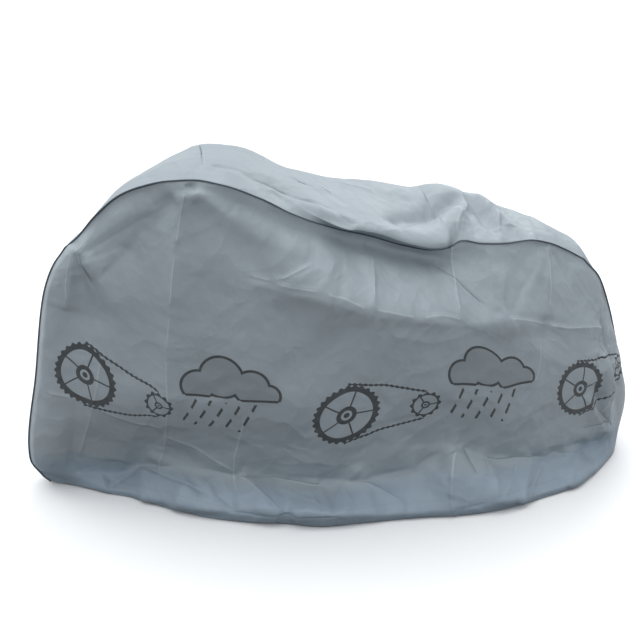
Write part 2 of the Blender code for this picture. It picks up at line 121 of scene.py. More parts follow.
# ---- print: a row of chain drives with rain clouds above and between them ----
PRINT_REPEAT = 0.80
PRINT_START = 0.20  # the first chain drive's centre along the panel
PRINT_SHARE = 0.56  # of a repeat from a chain drive's centre to the next cloud's
PRINT_HEIGHT = 0.50  # of the chain drives' centres above the hem, at the front
PRINT_FALL = 0.07  # and how far the row falls for each metre along the panel
PRINT_STAGGER = 0.06  # the clouds stand this much higher
PRINT_FILL = 0.36  # strength of the grey inside a cloud
INK_LEAST, INK_SPECKS = 0.80, 0.25  # cover of the ink where it is thin, and what the specks add
DRIVE_RADIUS, SMALL_RADIUS, DRIVE_SPAN = 0.098, 0.045, 0.240
TOOTH_DEPTH, ARM_WIDE = 0.0035, 0.0050
RIM_INSIDE, ARM_END, HUB_RING, HUB_HALF, AXLE = 0.80, 0.85, 0.24, 0.07, 0.09  # of the radius
CHAIN_OFF, CHAIN_HALF = 0.006, 0.0036  # how far past the rings it runs, and half its width
LINK_SWELL, LINK_PITCH = 0.0014, 0.0160  # what a link adds to that, and link to link
CLOUD_PUFFS = (  # centre along, centre up, radius
    (-0.090, 0.032, 0.050), (-0.020, 0.068, 0.066), (0.068, 0.044, 0.054), (0.118, 0.018, 0.036),
)
CLOUD_LINE = 0.0042  # half width
RAIN_SLANT, DASH_SHIFT = -0.35, 0.9  # lean for each metre up, and dash shift for each across
RAIN_APART, RAIN_LINE = 0.022, 0.0046  # half the space from streak to streak, and half its width
DASH_APART, DASH_LONG = 0.028, 0.017  # half the space from dash to dash, and half its length
RAIN_MIDDLE, RAIN_TALL, RAIN_WIDE = -0.070, 0.056, 0.110  # its middle's height, and half its size

# ---- film: how strongly its patterns show ----
PATCH_SHARE, SPECK_SHARE = 0.7, 0.3  # of the film's tone
SHEEN_LEAST, SHEEN_PATCHES = 0.50, 0.16  # roughness of clean film, and what the patches add
HEM_TINT_TOP, HEM_TINT_EDGE = 0.17, 0.06  # darker, bluer film near the hem: its top above the hem, and how it fades
HEM_TINT_COVER, HEM_DIMS_FOLD_PAINT = 0.75, 0.8  # how much the hem's tint covers the film, and how much it dims the painted highlight and shade of the folds
RIDGE_HIGHLIGHT = 0.6  # strength of the painted highlight along the sharp ridges
GROOVE_SHADE_ON_PANEL, GROOVE_SHADE_ON_GUSSET = 0.8, 1.5  # strength of the painted shade along the sharp grooves, on a side panel and on the gusset
WANDER = 0.005  # how far a sharp fold strays to either side of its straight line

# ---- sharp fold lines in the flat film: along it, and up from its hem (across the gusset) ----
# Film that was folded small keeps a small sharp ridge (raised 1) or groove (raised -1) there. A
# painted highlight lies along the top of a ridge, and painted shade along a groove.
SHARP_WIDE = 0.010  # how far the film rises to the line on either side
SHARP_TALL = 0.0018
SHARP_FADE = 0.025  # length over which a fold line dies out at its ends
SHARP_PAINT_FROM = 0.78  # from this share of a fold line's height on, a ridge has its painted highlight and a groove its painted shade
PANEL_SHARP = table("along_a up_a along_b up_b raised", (
    (505, 1138, 497, 968, 1), (497, 968, 481, 788, 1), (481, 788, 465, 646, 1),
    (465, 646, 478, 240, 1), (478, 240, 449, 123, 1), (1141, 934, 1090, 765, 1),
    (1450, 951, 1378, 694, 1), (702, 454, 686, 100, 1), (702, 896, 791, 882, 1),
    (791, 882, 907, 920, 1), (787, 875, 932, 841, 1), (932, 841, 1078, 753, 1),
    (1078, 753, 1232, 710, 1), (1232, 710, 1394, 677, 1), (1543, 677, 1735, 631, 1),
    (1735, 631, 2011, 540, 1), (60, 414, 222, 390, 1), (222, 390, 457, 362, 1),
    (253, 583, 193, 137, 1), (473, 322, 694, 201, 1), (1678, 594, 1600, 430, 1),
    (1881, 863, 1760, 670, 1), (111, 870, 137, 700, 1), (132, 873, 228, 762, -1),
    (1881, 863, 1907, 673, 1), (250, 10, 396, 142, -1), (396, 142, 600, 90, -1),
    (396, 135, 404, 10, 1), (706, 198, 961, 184, -1), (706, 193, 804, 50, 1),
    (1362, 877, 1488, 728, -1), (638, 44, 969, 48, -1), (1057, 166, 1178, 50, 1),
    (1350, 240, 1310, 30, 1), (1374, 235, 1410, 120, -1), (1437, 196, 1681, 140, -1),
    (1700, 150, 1977, 85, -1), (1681, 135, 1570, 20, 1), (1574, 158, 1470, 40, 1),
    (1956, 500, 2000, 222, -1), (1984, 450, 1925, 90, 1), (1846, 330, 1974, 123, -1),
    (2030, 420, 1900, 203, 1), (1810, 206, 1993, 171, -1),
))
GUSSET_SHARP = table("along_a up_a along_b up_b raised", (
    (1523, 81, 1652, 80, -1), (1652, 80, 1734, 67, -1), (1734, 67, 1777, 82, -1),
    (1777, 82, 1858, 61, -1), (1645, 187, 1714, 168, -1), (1721, 195, 1800, 173, -1),
    (1804, 305, 1917, 270, 1), (2248, 218, 2152, 21, 1), (2317, 185, 2356, 155, 1),
    (2356, 155, 2316, 50, 1), (1385, 60, 1350, 350, -1),
))

# ---- stage ----
CAMERA_PLACE = (-0.024, -2.462, 0.38)
CAMERA_DOWN, CAMERA_RIGHT = 20.5, 10.0  # degrees below level, and turned to the right
FOCAL_PIXELS, FRAME_PIXELS = 800.0, 640.0
SENSOR_WIDE = 36.0
FLOOR_SIZE = 160.0
SKY_PLACE = (0.0, 0.0, 4.0)
SKY_WIDE = 80.0  # angle that the overhead light fills, in degrees
SKY_LEAN = (-12.0, -8.0)  # degrees that it leans to the stage's back, and to the front wheel
SKY_STRENGTH = 2.55
# Light round the stage: height of the direction (0 straight down, 1 straight up) and brightness.
ROUND_STRENGTH = 1.15
ROUND_LIGHT = ((0.0, 0.05), (0.45, 0.05), (0.49, 1.0), (0.54, 1.0), (0.62, 0.50), (1.0, 0.42))
ROUND_TINT = (0.96, 0.98, 1.0)
SOFT_LIGHTS = (  # name, place, aim, size, watts, tint
    ("left_softbox", (-3.6, -1.2, 0.9), (0.0, 0.0, -0.5), (2.2, 2.2), 1.5, (0.97, 0.99, 1.0)),
    ("right_softbox", (4.4, -1.4, 1.2), (0.9, 0.0, -0.5), (1.6, 1.6), 6.0, (1.0, 1.0, 1.0)),
    ("left_high_softbox", (-3.4, 2.2, 1.8), (-0.3, 0.0, 0.0), (2.0, 2.0), 30.0, (0.97, 0.99, 1.0)),
    ("right_high_softbox", (3.2, 3.2, 2.4), (1.0, 0.0, -0.3), (2.0, 2.0), 60.0, (1.0, 1.0, 1.0)),
    ("front_softbox", (0.3, -4.6, 2.4), (0.3, 0.0, -0.2), (2.4, 2.4), 27.0, (0.98, 0.99, 1.0)),
)

# ---- the lines that a side panel hangs through, from the seam down to the hem ----
# Each row is one section along the bicycle. The first row of a line lies on the front seam and
# the last row on the rear seam. "lip" is how far the gusset hangs over the seam there, and
# "recess" is how far the panel falls back in under it.
SEAM_LINE = table("x out up lip recess", (
    (-771, 120, 833, 0, 0), (-731, 135, 867, 0, 0), (-675, 155, 930, 0, 0), (-604, 185, 991, 0, 0),
    (-542, 220, 1021, 0, 0), (-466, 265, 1043, 0, 0), (-400, 292, 1049, 0, 0),
    (-323, 295, 1034, 0, 4), (-216, 287, 991, 0, 8), (-135, 280, 950, 10, 14),
    (-20, 280, 910, 30, 24), (100, 282, 879, 42, 28), (220, 290, 842, 45, 28),
    (296, 296, 829, 43, 26), (340, 290, 832, 30, 20), (380, 266, 842, 12, 14),
    (445, 250, 824, 0, 8), (547, 220, 812, 0, 6), (625, 192, 810, 0, 2), (702, 172, 793, 0, 0),
    (768, 160, 765, 0, 0), (840, 150, 727, 0, 0),
))
UPPER_LINE = table("x out up", (
    (-812, 108, 778), (-780, 150, 800), (-690, 184, 860), (-560, 236, 945), (-470, 282, 965),
    (-400, 302, 960), (-290, 322, 905), (-190, 322, 865), (-80, 308, 825), (60, 304, 785),
    (200, 306, 750), (330, 310, 728), (450, 312, 715), (600, 270, 690), (740, 232, 668),
    (860, 180, 655), (900, 146, 668),
))
BREAK_LINE = table("x out up", (
    (-850, 98, 690), (-825, 150, 712), (-720, 180, 770), (-567, 238, 875), (-458, 300, 840),
    (-393, 330, 806), (-260, 360, 762), (-192, 374, 748), (-12, 392, 702), (76, 402, 676),
    (184, 402, 657), (345, 392, 618), (507, 360, 593), (640, 312, 560), (760, 276, 545),
    (880, 218, 512), (930, 175, 520), (958, 132, 560),
))
BELLY_LINE = table("x out up", (
    (-906, 76, 430), (-890, 116, 425), (-850, 146, 420), (-700, 198, 420), (-560, 252, 430),
    (-430, 312, 430), (-260, 354, 430), (-50, 380, 430), (200, 388, 420), (420, 384, 420),
    (620, 346, 400), (790, 298, 370), (920, 242, 350), (1000, 185, 340), (1036, 140, 335),
    (1052, 85, 335),
))
WAIST_LINE = table("x out up", (
    (-968, 38, 110), (-950, 60, 100), (-900, 74, 85), (-799, 78, 70), (-680, 92, 60),
    (-584, 124, 100), (-424, 205, 119), (-301, 255, 106), (-187, 285, 101), (-45, 330, 84),
    (30, 335, 97), (152, 340, 94), (249, 342, 117), (376, 350, 190), (519, 340, 122),
    (764, 290, 83), (920, 232, 90), (1030, 176, 120), (1076, 130, 150), (1094, 80, 160),
))
# "tuck" is how far the hem is drawn back in under the fold that stands on the floor, and "back" is
# how far it lies behind that fold where the front corner is rounded.
HEM_LINE = table("x out tuck fold back", (
    (-941, 22, 0, 36, 24), (-904, 30, 4, 28, 10), (-848, 52, 6, 22, 3), (-795, 80, 8, 20, 0),
    (-725, 124, 10, 20, 0), (-658, 156, 10, 22, 0), (-590, 204, 12, 26, 0), (-512, 257, 16, 30, 0),
    (-403, 321, 20, 36, 0), (-295, 362, 30, 46, 0), (-185, 390, 34, 50, 0), (-47, 430, 32, 50, 0),
    (45, 430, 24, 42, 0), (148, 430, 12, 26, 0), (290, 436, 14, 26, 0), (404, 444, 22, 36, 0),
    (509, 436, 24, 38, 0), (585, 418, 14, 28, 0), (664, 396, 8, 22, 0), (795, 354, 10, 24, 0),
    (890, 296, 14, 30, 0), (985, 216, 16, 34, 0), (1050, 150, 14, 36, 0), (1082, 80, 8, 36, 0),
))

# ---- the gusset's rise above the chord between its two seams ----
# "path" runs 0 to 1 up the front seam, 1 to 2 along the top and 2 to 3 down the rear seam.
# "round" is 2 for a dome and nearer 1 where the cloth falls straight from a ridge.
CROWN = table("path crown round", (
    (0.0, 3, 2.0), (0.8, 4, 2.2), (1.0, 9, 2.4), (1.1, 16, 2.6), (1.18, 33, 2.6), (1.23, 49, 2.8),
    (1.27, 60, 2.6), (1.31, 69, 2.2), (1.36, 76, 1.8), (1.42, 86, 1.6), (1.48, 90, 1.5),
    (1.54, 106, 1.4), (1.61, 120, 1.3), (1.68, 118, 1.2), (1.75, 112, 1.2), (1.8, 108, 1.2),
    (1.85, 70, 1.5), (1.91, 44, 1.8), (1.96, 40, 2.0), (2.0, 42, 2.0), (2.15, 22, 2.0),
    (2.3, 4, 2.0), (3.0, 3, 2.0),
))

# ---- main folds ----
# A fold is a soft ridge (height above 0) or trough (below 0) along a straight line from end a to
# end b, with a half width at either end. "v" is the height above the floor on a side panel and the
# place along Y on the gusset.
FOLD = "x_a v_a x_b v_b wide_a wide_b height"
LEFT_FOLDS = table(FOLD, (
    # round the grip
    (-385, 1010, -20, 760, 24, 70, 18), (-430, 1000, -500, 420, 18, 45, 10),
    (-470, 985, -590, 840, 20, 55, -12), (-300, 960, -120, 560, 50, 110, -12),
    # front shoulder and margin
    (-738, 820, -720, 640, 14, 40, -16), (-700, 800, -640, 690, 14, 34, 10),
    (-830, 640, -880, 240, 30, 40, 6),
    # rear facet
    (690, 780, 500, 600, 20, 50, 14), (690, 770, 650, 540, 16, 40, -10),
    # on the floor
    (360, 180, 520, 60, 35, 60, 16), (60, 130, -20, 40, 25, 45, 10),
    (-560, 130, -420, 50, 30, 60, 14),
    # gathers round the rear wheel
    (900, 380, 980, 120, 20, 30, 12), (985, 440, 1010, 200, 14, 20, -10),
    (840, 100, 930, 40, 20, 30, -12),
))
RIGHT_FOLDS = table(FOLD, (
    (-400, 1010, -160, 700, 24, 70, 16), (-430, 1000, -560, 500, 20, 50, 12),
    (-300, 940, -260, 520, 40, 90, -12), (430, 800, 300, 520, 24, 60, 14),
    (470, 800, 620, 540, 22, 60, 12), (50, 720, 120, 300, 50, 90, -10),
    (-700, 780, -640, 420, 20, 50, -12), (-380, 180, -300, 50, 30, 60, 14),
    (240, 200, 160, 50, 30, 60, 14), (700, 200, 780, 50, 30, 50, -14),
    (960, 420, 1000, 150, 16, 26, 10),
))
GUSSET_FOLDS = table(FOLD, (
    # long tuck beside the left seam, then round the saddle
    (-330, -210, 40, -272, 14, 14, -10), (430, -70, 210, -210, 18, 34, -20),
    (400, -150, 300, -260, 30, 40, 14), (470, -50, 540, -210, 18, 40, -12),
    (515, -30, 600, -180, 16, 30, 10), (430, 70, 240, 220, 20, 40, -14),
    (500, 60, 600, 170, 18, 36, -10), (-150, 50, 160, 120, 30, 50, -8),
))

# ---- creases ----
# Sharper marks than the folds. "wide" is how fast a crease falls away from its line, and "v" is as
# for the folds. The kind "step" is a lap, which stands higher to the right of its way from a to b.
CREASE = "x_a v_a x_b v_b wide height kind"
LEFT_CREASES = table(CREASE, (
    # down from the grip, back from it, and round it
    (-410, 1030, -449, 857, 45, 7), (-446, 870, -477, 675, 50, 7), (-474, 690, -503, 540, 50, 6),
    (-500, 560, -532, 161, 45, 6), (-530, 180, -556, 60, 30, 5), (-398, 1035, -320, 954, 30, 6),
    (-330, 962, -212, 874, 36, 6), (-225, 882, -100, 818, 44, 5), (-350, 1022, -50, 860, 30, -6),
    (-412, 1040, -392, 1020, 12, -10), (-430, 1025, -520, 974, 24, -8),
    (-450, 1000, -730, 820, 50, -12), (-563, 879, -453, 845, 30, 4), (-453, 845, -382, 806, 20, 3),
    # front shoulder, and the front wheel's slant
    (-735, 840, -780, 660, 36, 18), (-727, 846, -655, 784, 22, 8), (-560, 880, -700, 740, 44, -6),
    (-690, 533, -738, 379, 40, 6), (-735, 390, -808, 131, 40, 6),
    # low fold lines from the pack
    (-863, 385, -742, 350, 24, 4), (-745, 351, -639, 309, 24, 4), (-642, 310, -527, 263, 24, 4),
    (-527, 240, -315, 102, 34, 8), (-288, 338, -313, 71, 34, 6),
    # zigzag over the break, and the break itself
    (-270, 771, -191, 754, 14, 5), (-191, 754, -81, 790, 14, 5), (-85, 790, -36, 776, 12, 4),
    (-250, 810, -150, 792, 20, -4), (-200, 750, -14, 707, 50, 12), (-20, 709, 80, 676, 50, 14),
    (70, 679, 364, 619, 50, 15), (360, 618, 502, 612, 50, 15), (498, 613, 666, 560, 50, 13),
    (660, 562, 905, 504, 44, 9),
    # wave below the break, and slants over it
    (118, 616, 254, 577, 20, 4), (250, 577, 378, 592, 20, 4), (-10, 788, 56, 694, 30, -6),
    (115, 803, 79, 687, 30, 5), (302, 770, 440, 645, 26, -6), (366, 800, 346, 634, 26, 5),
    # rear facet and shoulder
    (702, 790, 504, 620, 44, -20), (701, 786, 652, 590, 44, 22), (705, 780, 820, 590, 40, -7),
    (560, 790, 470, 640, 34, 6), (629, 531, 596, 376, 36, 6), (872, 469, 825, 341, 26, 7),
    (905, 660, 860, 480, 30, 10),
    # gathers round the rear wheel
    (880, 560, 954, 380, 18, -15), (905, 520, 985, 340, 16, 16), (935, 470, 1010, 270, 14, -14),
    (900, 420, 975, 240, 16, 15), (870, 340, 950, 150, 16, -14), (830, 300, 960, 120, 16, 14),
    # down to the hem amidships
    (246, 210, 217, 15, 34, 8),
    # top edge of the spread hem
    (-730, 30, -611, 94, 26, -10), (-611, 94, -459, 92, 26, -10), (-459, 92, -310, 112, 26, -10),
    (-310, 116, -150, 106, 26, -11), (-150, 106, 70, 100, 26, -11), (70, 100, 240, 125, 26, -11),
    (240, 125, 369, 204, 30, -12), (369, 204, 467, 150, 30, -12), (467, 150, 711, 98, 30, -14),
    (711, 98, 773, 114, 26, -12), (773, 114, 994, 80, 26, -12),
    # facets of the spread hem
    (-611, 85, -600, 10, 34, 18), (-459, 84, -520, 10, 34, 17), (-385, 70, -320, 56, 10, -8),
    (-305, 109, -191, 40, 36, 21), (-48, 84, -162, 40, 34, 19), (-162, 56, -74, 58, 12, 6),
    (-361, 46, -20, 46, 12, -7), (61, 101, 194, 40, 30, 13), (369, 200, 340, 60, 36, 20),
    (369, 190, 300, 60, 26, 8), (396, 190, 436, 112, 22, -14), (489, 130, 480, 40, 24, 13),
    (660, 105, 560, 20, 34, 20), (860, 100, 760, 20, 30, 18), (347, 30, 513, 53, 12, -7),
    (513, 53, 797, 30, 12, -7),
))
RIGHT_CREASES = table(CREASE, (
    (-360, 1010, -400, 640, 22, 7), (-340, 1000, -150, 760, 22, 7),
    (-380, 1010, -560, 820, 20, -6), (-700, 800, -620, 560, 18, 6, "step"),
    (-180, 750, 340, 630, 18, 6, "step"), (340, 625, 860, 510, 16, 5, "step"),
    (450, 800, 560, 600, 16, 6), (460, 800, 340, 620, 16, -5), (880, 620, 960, 400, 12, 7),
    (940, 440, 1000, 220, 10, -7), (-350, 120, -240, 30, 14, 9), (-150, 110, -40, 30, 14, -8),
    (100, 110, 200, 30, 14, 9), (380, 150, 480, 30, 14, 9), (620, 110, 720, 30, 14, -8),
))
GUSSET_CREASES = table(CREASE, (
    # long tuck beside the left seam
    (-255, -212, -95, -204, 16, -4), (-110, -202, 17, -230, 16, -4),
    # soft fold over the bar, and creases behind it
    (-385, 120, -415, -290, 60, 10), (-258, -135, -231, -123, 10, -4),
    (-333, -239, -255, -217, 12, 4), (-106, -101, -45, -118, 12, -4), (-35, -93, 32, -159, 14, 5),
    (47, -35, 157, -83, 16, 5), (8, -125, 57, -185, 14, -5), (175, -115, 140, -240, 30, 3),
    # round the saddle
    (146, -235, 244, -166, 16, -7), (230, -172, 383, -120, 20, -12),
    (360, -126, 430, -80, 24, -12), (201, -257, 302, -150, 22, 10), (469, -45, 377, -245, 30, 9),
    (469, -45, 516, -215, 26, -9), (440, -110, 440, -230, 22, -6), (535, -60, 575, -78, 16, 6),
    (570, -74, 527, -183, 18, 9), (527, -183, 537, -215, 14, 6), (600, -30, 660, -150, 30, -6),
    (430, 70, 280, 190, 20, -6), (500, 60, 600, 170, 20, 6), (-300, 120, 50, 200, 20, 5),
))
# Patches of short random creases: an ellipse, how many, and how long, wide and high they are.
# "turn" is their usual direction in degrees and "spread" how far they stray from it.
CRUMPLE = "x v reach_x reach_v count long wide height turn spread"
LEFT_CRUMPLE = table(CRUMPLE, (
    # all over, grip, front shoulder, under the puff, rear facet
    (50, 400, 1000, 400, 70, 180, 24, 1.6, 100, 45), (-520, 930, 120, 70, 10, 80, 16, 2, 60, 40),
    (-700, 760, 110, 110, 12, 80, 16, 2.4, 70, 40), (350, 740, 240, 70, 12, 80, 18, 2.2, -60, 40),
    (720, 680, 180, 120, 16, 90, 18, 2.6, -60, 35),
    # rear gathers
    (950, 450, 80, 200, 40, 70, 11, 6.2, -70, 35), (930, 180, 110, 120, 22, 70, 10, 4.4, -60, 35),
    # spread hem
    (200, 60, 700, 45, 40, 90, 16, 3.4, -30, 50), (-600, 70, 300, 50, 16, 90, 16, 3, 40, 50),
))
RIGHT_CRUMPLE = table(CRUMPLE, (
    (50, 400, 1000, 400, 70, 110, 12, 1.6, 100, 40), (-380, 920, 200, 90, 20, 80, 9, 2.8, 60, 40),
    (450, 720, 300, 80, 24, 80, 9, 2.8, -60, 40), (950, 400, 80, 220, 26, 60, 8, 3.6, -70, 35),
    (200, 70, 700, 50, 40, 70, 9, 3.4, -30, 45),
))
GUSSET_CRUMPLE = table(CRUMPLE, (
    (-180, -20, 300, 220, 22, 100, 18, 1.6, -30, 40), (-20, -110, 100, 70, 10, 60, 12, 2, -60, 30),
    (230, -100, 180, 130, 12, 80, 16, 2.2, 40, 40),
    (450, -100, 120, 120, 12, 80, 16, 2.4, -60, 40), (450, 120, 160, 90, 14, 80, 14, 2.4, 60, 40),
    (720, 0, 160, 120, 14, 90, 16, 2, 20, 40), (-600, 0, 140, 120, 12, 90, 16, 1.8, 80, 30),
))
# Upright fold lines kept from the pack.
PACKING_SIDE = table("place wide height", (
    (-730, 16, 2), (-175, 16, -2.2), (86, 16, 3.6), (350, 16, 3.6), (655, 16, -3), (900, 14, 2.4),
))
PACKING_GUSSET = table("place wide height", (
    (-175, 14, 1.6), (90, 14, -1.6), (660, 14, 1.6),
))
# Long low waves of slack film, with a wave length along x and another along v.
BILLOWS = table("wave_x wave_v shift height", (
    (310, 1700, 0.4, 1.2), (190, -1100, 2.1, 0.8), (520, 450, 4.0, 2), (-270, 230, 1.2, 0.8),
    (130, 900, 5.1, 0.4),
))


def column(rows, name):
    """One named column of a table."""
    return np.array([row[name] for row in rows])


def smooth(keys, values, at):
    """Read a curve through (key, value) rows that never swings past the rows beside it."""
    keys, values, at = np.asarray(keys, float), np.asarray(values, float), np.asarray(at, float)
    trailing = (1,) * (values.ndim - 1)
    step = np.diff(keys).reshape(-1, *trailing)
    slope = np.diff(values, axis=0) / step
    before, after = slope[:-1], slope[1:]
    same_way = before * after > 0
    total = np.where(same_way, before + after, 1.0)
    inner = np.where(same_way, 2.0 * before * after / total, 0.0)
    tangent = np.concatenate([slope[:1], inner, slope[-1:]])
    index = np.clip(np.searchsorted(keys, at, side="right") - 1, 0, len(keys) - 2)
    width = step[index]
    t = ((at - keys[index]).reshape(-1, *trailing)) / width
    return (
        (2 * t**3 - 3 * t**2 + 1) * values[index]
        + (t**3 - 2 * t**2 + t) * width * tangent[index]
        + (3 * t**2 - 2 * t**3) * values[index + 1]
        + (t**3 - t**2) * width * tangent[index + 1]
    )


def unit(vectors):
    """Vectors of length 1 along the last axis."""
    return vectors / np.linalg.norm(vectors, axis=-1, keepdims=True)


def fold_heights(x, v, folds):
    """Sum of the soft ridges and troughs of a table of folds at the points (x, v)."""
    total = np.zeros_like(x)
    for fold in folds:
        run_x, run_v = fold["x_b"] - fold["x_a"], fold["v_b"] - fold["v_a"]
        from_x, from_v = x - fold["x_a"], v - fold["v_a"]
        share = np.clip((from_x * run_x + from_v * run_v) / (run_x**2 + run_v**2), 0.0, 1.0)
        distance = np.hypot(from_x - share * run_x, from_v - share * run_v)
        width = fold["wide_a"] + (fold["wide_b"] - fold["wide_a"]) * share
        total += fold["height"] * np.exp(-((distance / width) ** 2))
    return total


def crease_heights(x, v, marks):
    """Sum of sharper marks along straight lines that fade out towards both ends.

    A crease is a thin peaked ridge, or a groove if its height is below 0. A step is a lap, where
    the film stands a little higher on one side of the line than on the other.
    """
    total = np.zeros_like(x)
    for mark in marks:
        run_x, run_v = mark["x_b"] - mark["x_a"], mark["v_b"] - mark["v_a"]
        length = math.hypot(run_x, run_v)
        reach = mark["wide"] * CREASE_REACH
        near = np.ones_like(x, bool)
        for at, end_a, end_b in ((x, mark["x_a"], mark["x_b"]), (v, mark["v_a"], mark["v_b"])):
            near &= (at > min(end_a, end_b) - reach) & (at < max(end_a, end_b) + reach)
        from_x, from_v = x[near] - mark["x_a"], v[near] - mark["v_a"]
        share = (from_x * run_x + from_v * run_v) / length**2
        off = (from_x * run_v - from_v * run_x) / length
        taper = np.clip(4.0 * share * (1.0 - share), 0.0, 1.0) ** TAPER
        profile = np.exp(-np.abs(off) / mark["wide"])
        if mark.get("kind") == "step":
            profile = profile * np.tanh(off / STEP_EDGE)
        total[near] += mark["height"] * taper * profile
    return total


def scatter(patches, seed):
    """Short random creases inside the ellipses of a crumple table, the same on every run."""
    chance = np.random.default_rng(seed)
    marks = []
    for patch in patches:
        for _ in range(patch["count"]):
            radius = math.sqrt(chance.random())
            around = chance.random() * 2.0 * math.pi
            x = patch["x"] + patch["reach_x"] * radius * math.cos(around)
            v = patch["v"] + patch["reach_v"] * radius * math.sin(around)
            turn = math.radians(patch["turn"] + patch["spread"] * chance.normal())
            half = 0.5 * patch["long"] * (LONG_LEAST + LONG_SPREAD * chance.random())
            height = patch["height"] * (HEIGHT_LEAST + HEIGHT_SPREAD * chance.random())
            height *= chance.choice((-1.0, 1.0))
            kind = "step" if chance.random() < STEP_SHARE else "crease"
            marks.append(dict(zip(CREASE.split(), (
                x - half * math.cos(turn), v - half * math.sin(turn),
                x + half * math.cos(turn), v + half * math.sin(turn),
                patch["wide"] * (WIDE_LEAST + WIDE_SPREAD * chance.random()), height, kind))))
    return marks


def packing_heights(x, lines):
    """Upright fold lines that the film keeps from its pack, as low tents in turn out and in."""
    total = np.zeros_like(x)
    for line in lines:
        total += line["height"] * np.exp(-np.abs(x - line["place"]) / line["wide"])
    return total


def billow(x, v):
    """Long low waves of slack film, from a few crossed sine waves."""
    total = np.zeros_like(x)
    for wave in BILLOWS:
        total += wave["height"] * np.sin(
            2.0 * math.pi * (x / wave["wave_x"] + v / wave["wave_v"]) + wave["shift"])
    return total


def edge_fade(depth, share):
    """0 along all four edges of a panel and 1 a little way in."""
    fade = np.ones_like(depth * share)
    for from_edge in (depth, 1.0 - depth, share, 1.0 - share):
        fade = fade * np.clip(from_edge / EDGE_HOLD, 0.0, 1.0)
    return fade


def fade_in(share):
    """0 at the edge of a panel and 1 from FOLD_MARGIN on."""
    return np.clip(share / FOLD_MARGIN, 0.0, 1.0) ** 2


# ---- side panels ----
def column_shares():
    """Where the columns lie along a line, from 0 to 1, a little closer together at the ends."""
    even = np.linspace(0.0, 1.0, COLUMNS + 1)
    eased = 0.5 - 0.5 * np.cos(np.pi * even)
    return (1.0 - END_CROWDING) * even + END_CROWDING * eased


def in_cells(places, cells):
    """The places, with each stretch between two of them cut into its number of even cells."""
    cut = [places[0]]
    for start, end, count in zip(places, places[1:], cells):
        cut += [start + (end - start) * step / count for step in range(1, count + 1)]
    return np.array(cut)


def row_depths():
    """Where the rows lie between the seam (0) and the hem (1)."""
    return in_cells(LINE_DEPTHS, ROWS_BETWEEN_LINES)


def gusset_places():
    """Places of the gusset's columns, from its left seam (-1) to its right seam (1)."""
    return in_cells(GUSSET_PLACES, GUSSET_CELLS)


def read_along(rows, name, shares):
    """A column of a line's table at the given shares of the line's length along x."""
    keys = column(rows, "x")
    return smooth(keys, column(rows, name), keys[0] + (keys[-1] - keys[0]) * shares)


def line_points(rows, side, shares):
    """Points of one line. On the right they move back and down round the turned handlebar."""
    x, out, up = (read_along(rows, name, shares) for name in ("x", "out", "up"))
    if side == RIGHT:
        ahead = np.clip((TURN_TO - x) / (TURN_TO - TURN_FROM), 0.0, 1.0)
        share = ahead * np.clip(up / BAR_UP, 0.0, 1.0) ** 2
        x, up = x + TURN_BACK * share, up - TURN_DROP * share
    return np.stack([x, side * out, up], axis=-1)


def seam_points(side, shares):
    """The edge that shows along the top, the seam tucked in behind its lip, and both depths."""
    edge = line_points(SEAM_LINE, side, shares)
    lip, recess = (
        read_along(SEAM_LINE, name, shares) * (side == LEFT) for name in ("lip", "recess"))
    seam = edge.copy()
    seam[:, 1] -= side * lip
    seam[:, 2] -= LIP_DROP * np.clip(lip / LIP_FULL, 0.0, 1.0)
    return edge, seam, lip, recess


def hem_points(side, shares):
    """The fold that stands on the floor, and the hem drawn back in under it."""
    x, out, tuck, fold, back = (
        read_along(HEM_LINE, name, shares) for name in ("x", "out", "tuck", "fold", "back"))
    return (
        np.stack([x, side * (out + TUCK_SHARE * tuck), fold], axis=-1),
        np.stack([x + back, side * out, HEM_LIFT + back * CORNER_RISE], axis=-1),
    )


def side_grid(side):
    """Grid of points, rows from the seam to the hem and columns from front to rear."""
    shares = column_shares()
    _, seam, _, recess = seam_points(side, shares)
    lines = [line_points(rows, side, shares)
             for rows in (UPPER_LINE, BREAK_LINE, BELLY_LINE, WAIST_LINE)]
    under = seam + (lines[0] - seam) * RECESS_DEPTH
    under[:, 1] -= side * recess
    return smooth(
        LINE_DEPTHS, np.stack([seam, under, *lines, *hem_points(side, shares)]), row_depths())


def surface_normals(grid, side):
    """Outward unit normals of a side panel's grid."""
    return unit(np.cross(np.gradient(grid, axis=0), np.gradient(grid, axis=1)) * -side)


def dress_side(grid, side):
    """Press the main folds, the creases and the fine crumple of the film into a side panel."""
    main, creases, crumple = (
        (LEFT_FOLDS, LEFT_CREASES, LEFT_CRUMPLE) if side == LEFT
        else (RIGHT_FOLDS, RIGHT_CREASES, RIGHT_CRUMPLE))
    depth = row_depths()[:, None]
    share = column_shares()[None, :]
    fade = fade_in(depth) * fade_in(1.0 - depth) * fade_in(share) * fade_in(1.0 - share)
    close = edge_fade(depth, share)
    x, up = grid[..., 0], grid[..., 2]
    heights = fold_heights(x, up, main) * fade
    heights += crease_heights(x, up, creases + scatter(crumple, SIDE_SEED + side)) * close
    heights += (packing_heights(x, PACKING_SIDE) + billow(x, up)) * close
    grid = grid + surface_normals(grid, side) * heights[..., None]
    grid[..., 2] = np.maximum(grid[..., 2], HEM_LIFT)
    return grid


# ---- the seam path and the gusset ----
def rim(grid):
    """The grid's front edge upward, its top edge and its rear edge downward, as one path."""
    return np.concatenate([grid[:0:-1, 0], grid[0, :], grid[1:, -1]])


def rim_neighbours(grid):
    """For each point of the rim, the nearest point inside the panel."""
    front, rear = grid[1, 1][None], grid[1, -2][None]
    return np.concatenate(
        [grid[:1:-1, 1], front, front, grid[1, 1:-1], rear, rear, grid[2:, -2]])


def path_numbers():
    """Place of each rim point: 0 to 1 up the front, 1 to 2 along the top, 2 to 3 down the rear."""
    depths = row_depths()
    return np.concatenate([1.0 - depths[:0:-1], 1.0 + column_shares(), 2.0 + depths[1:]])


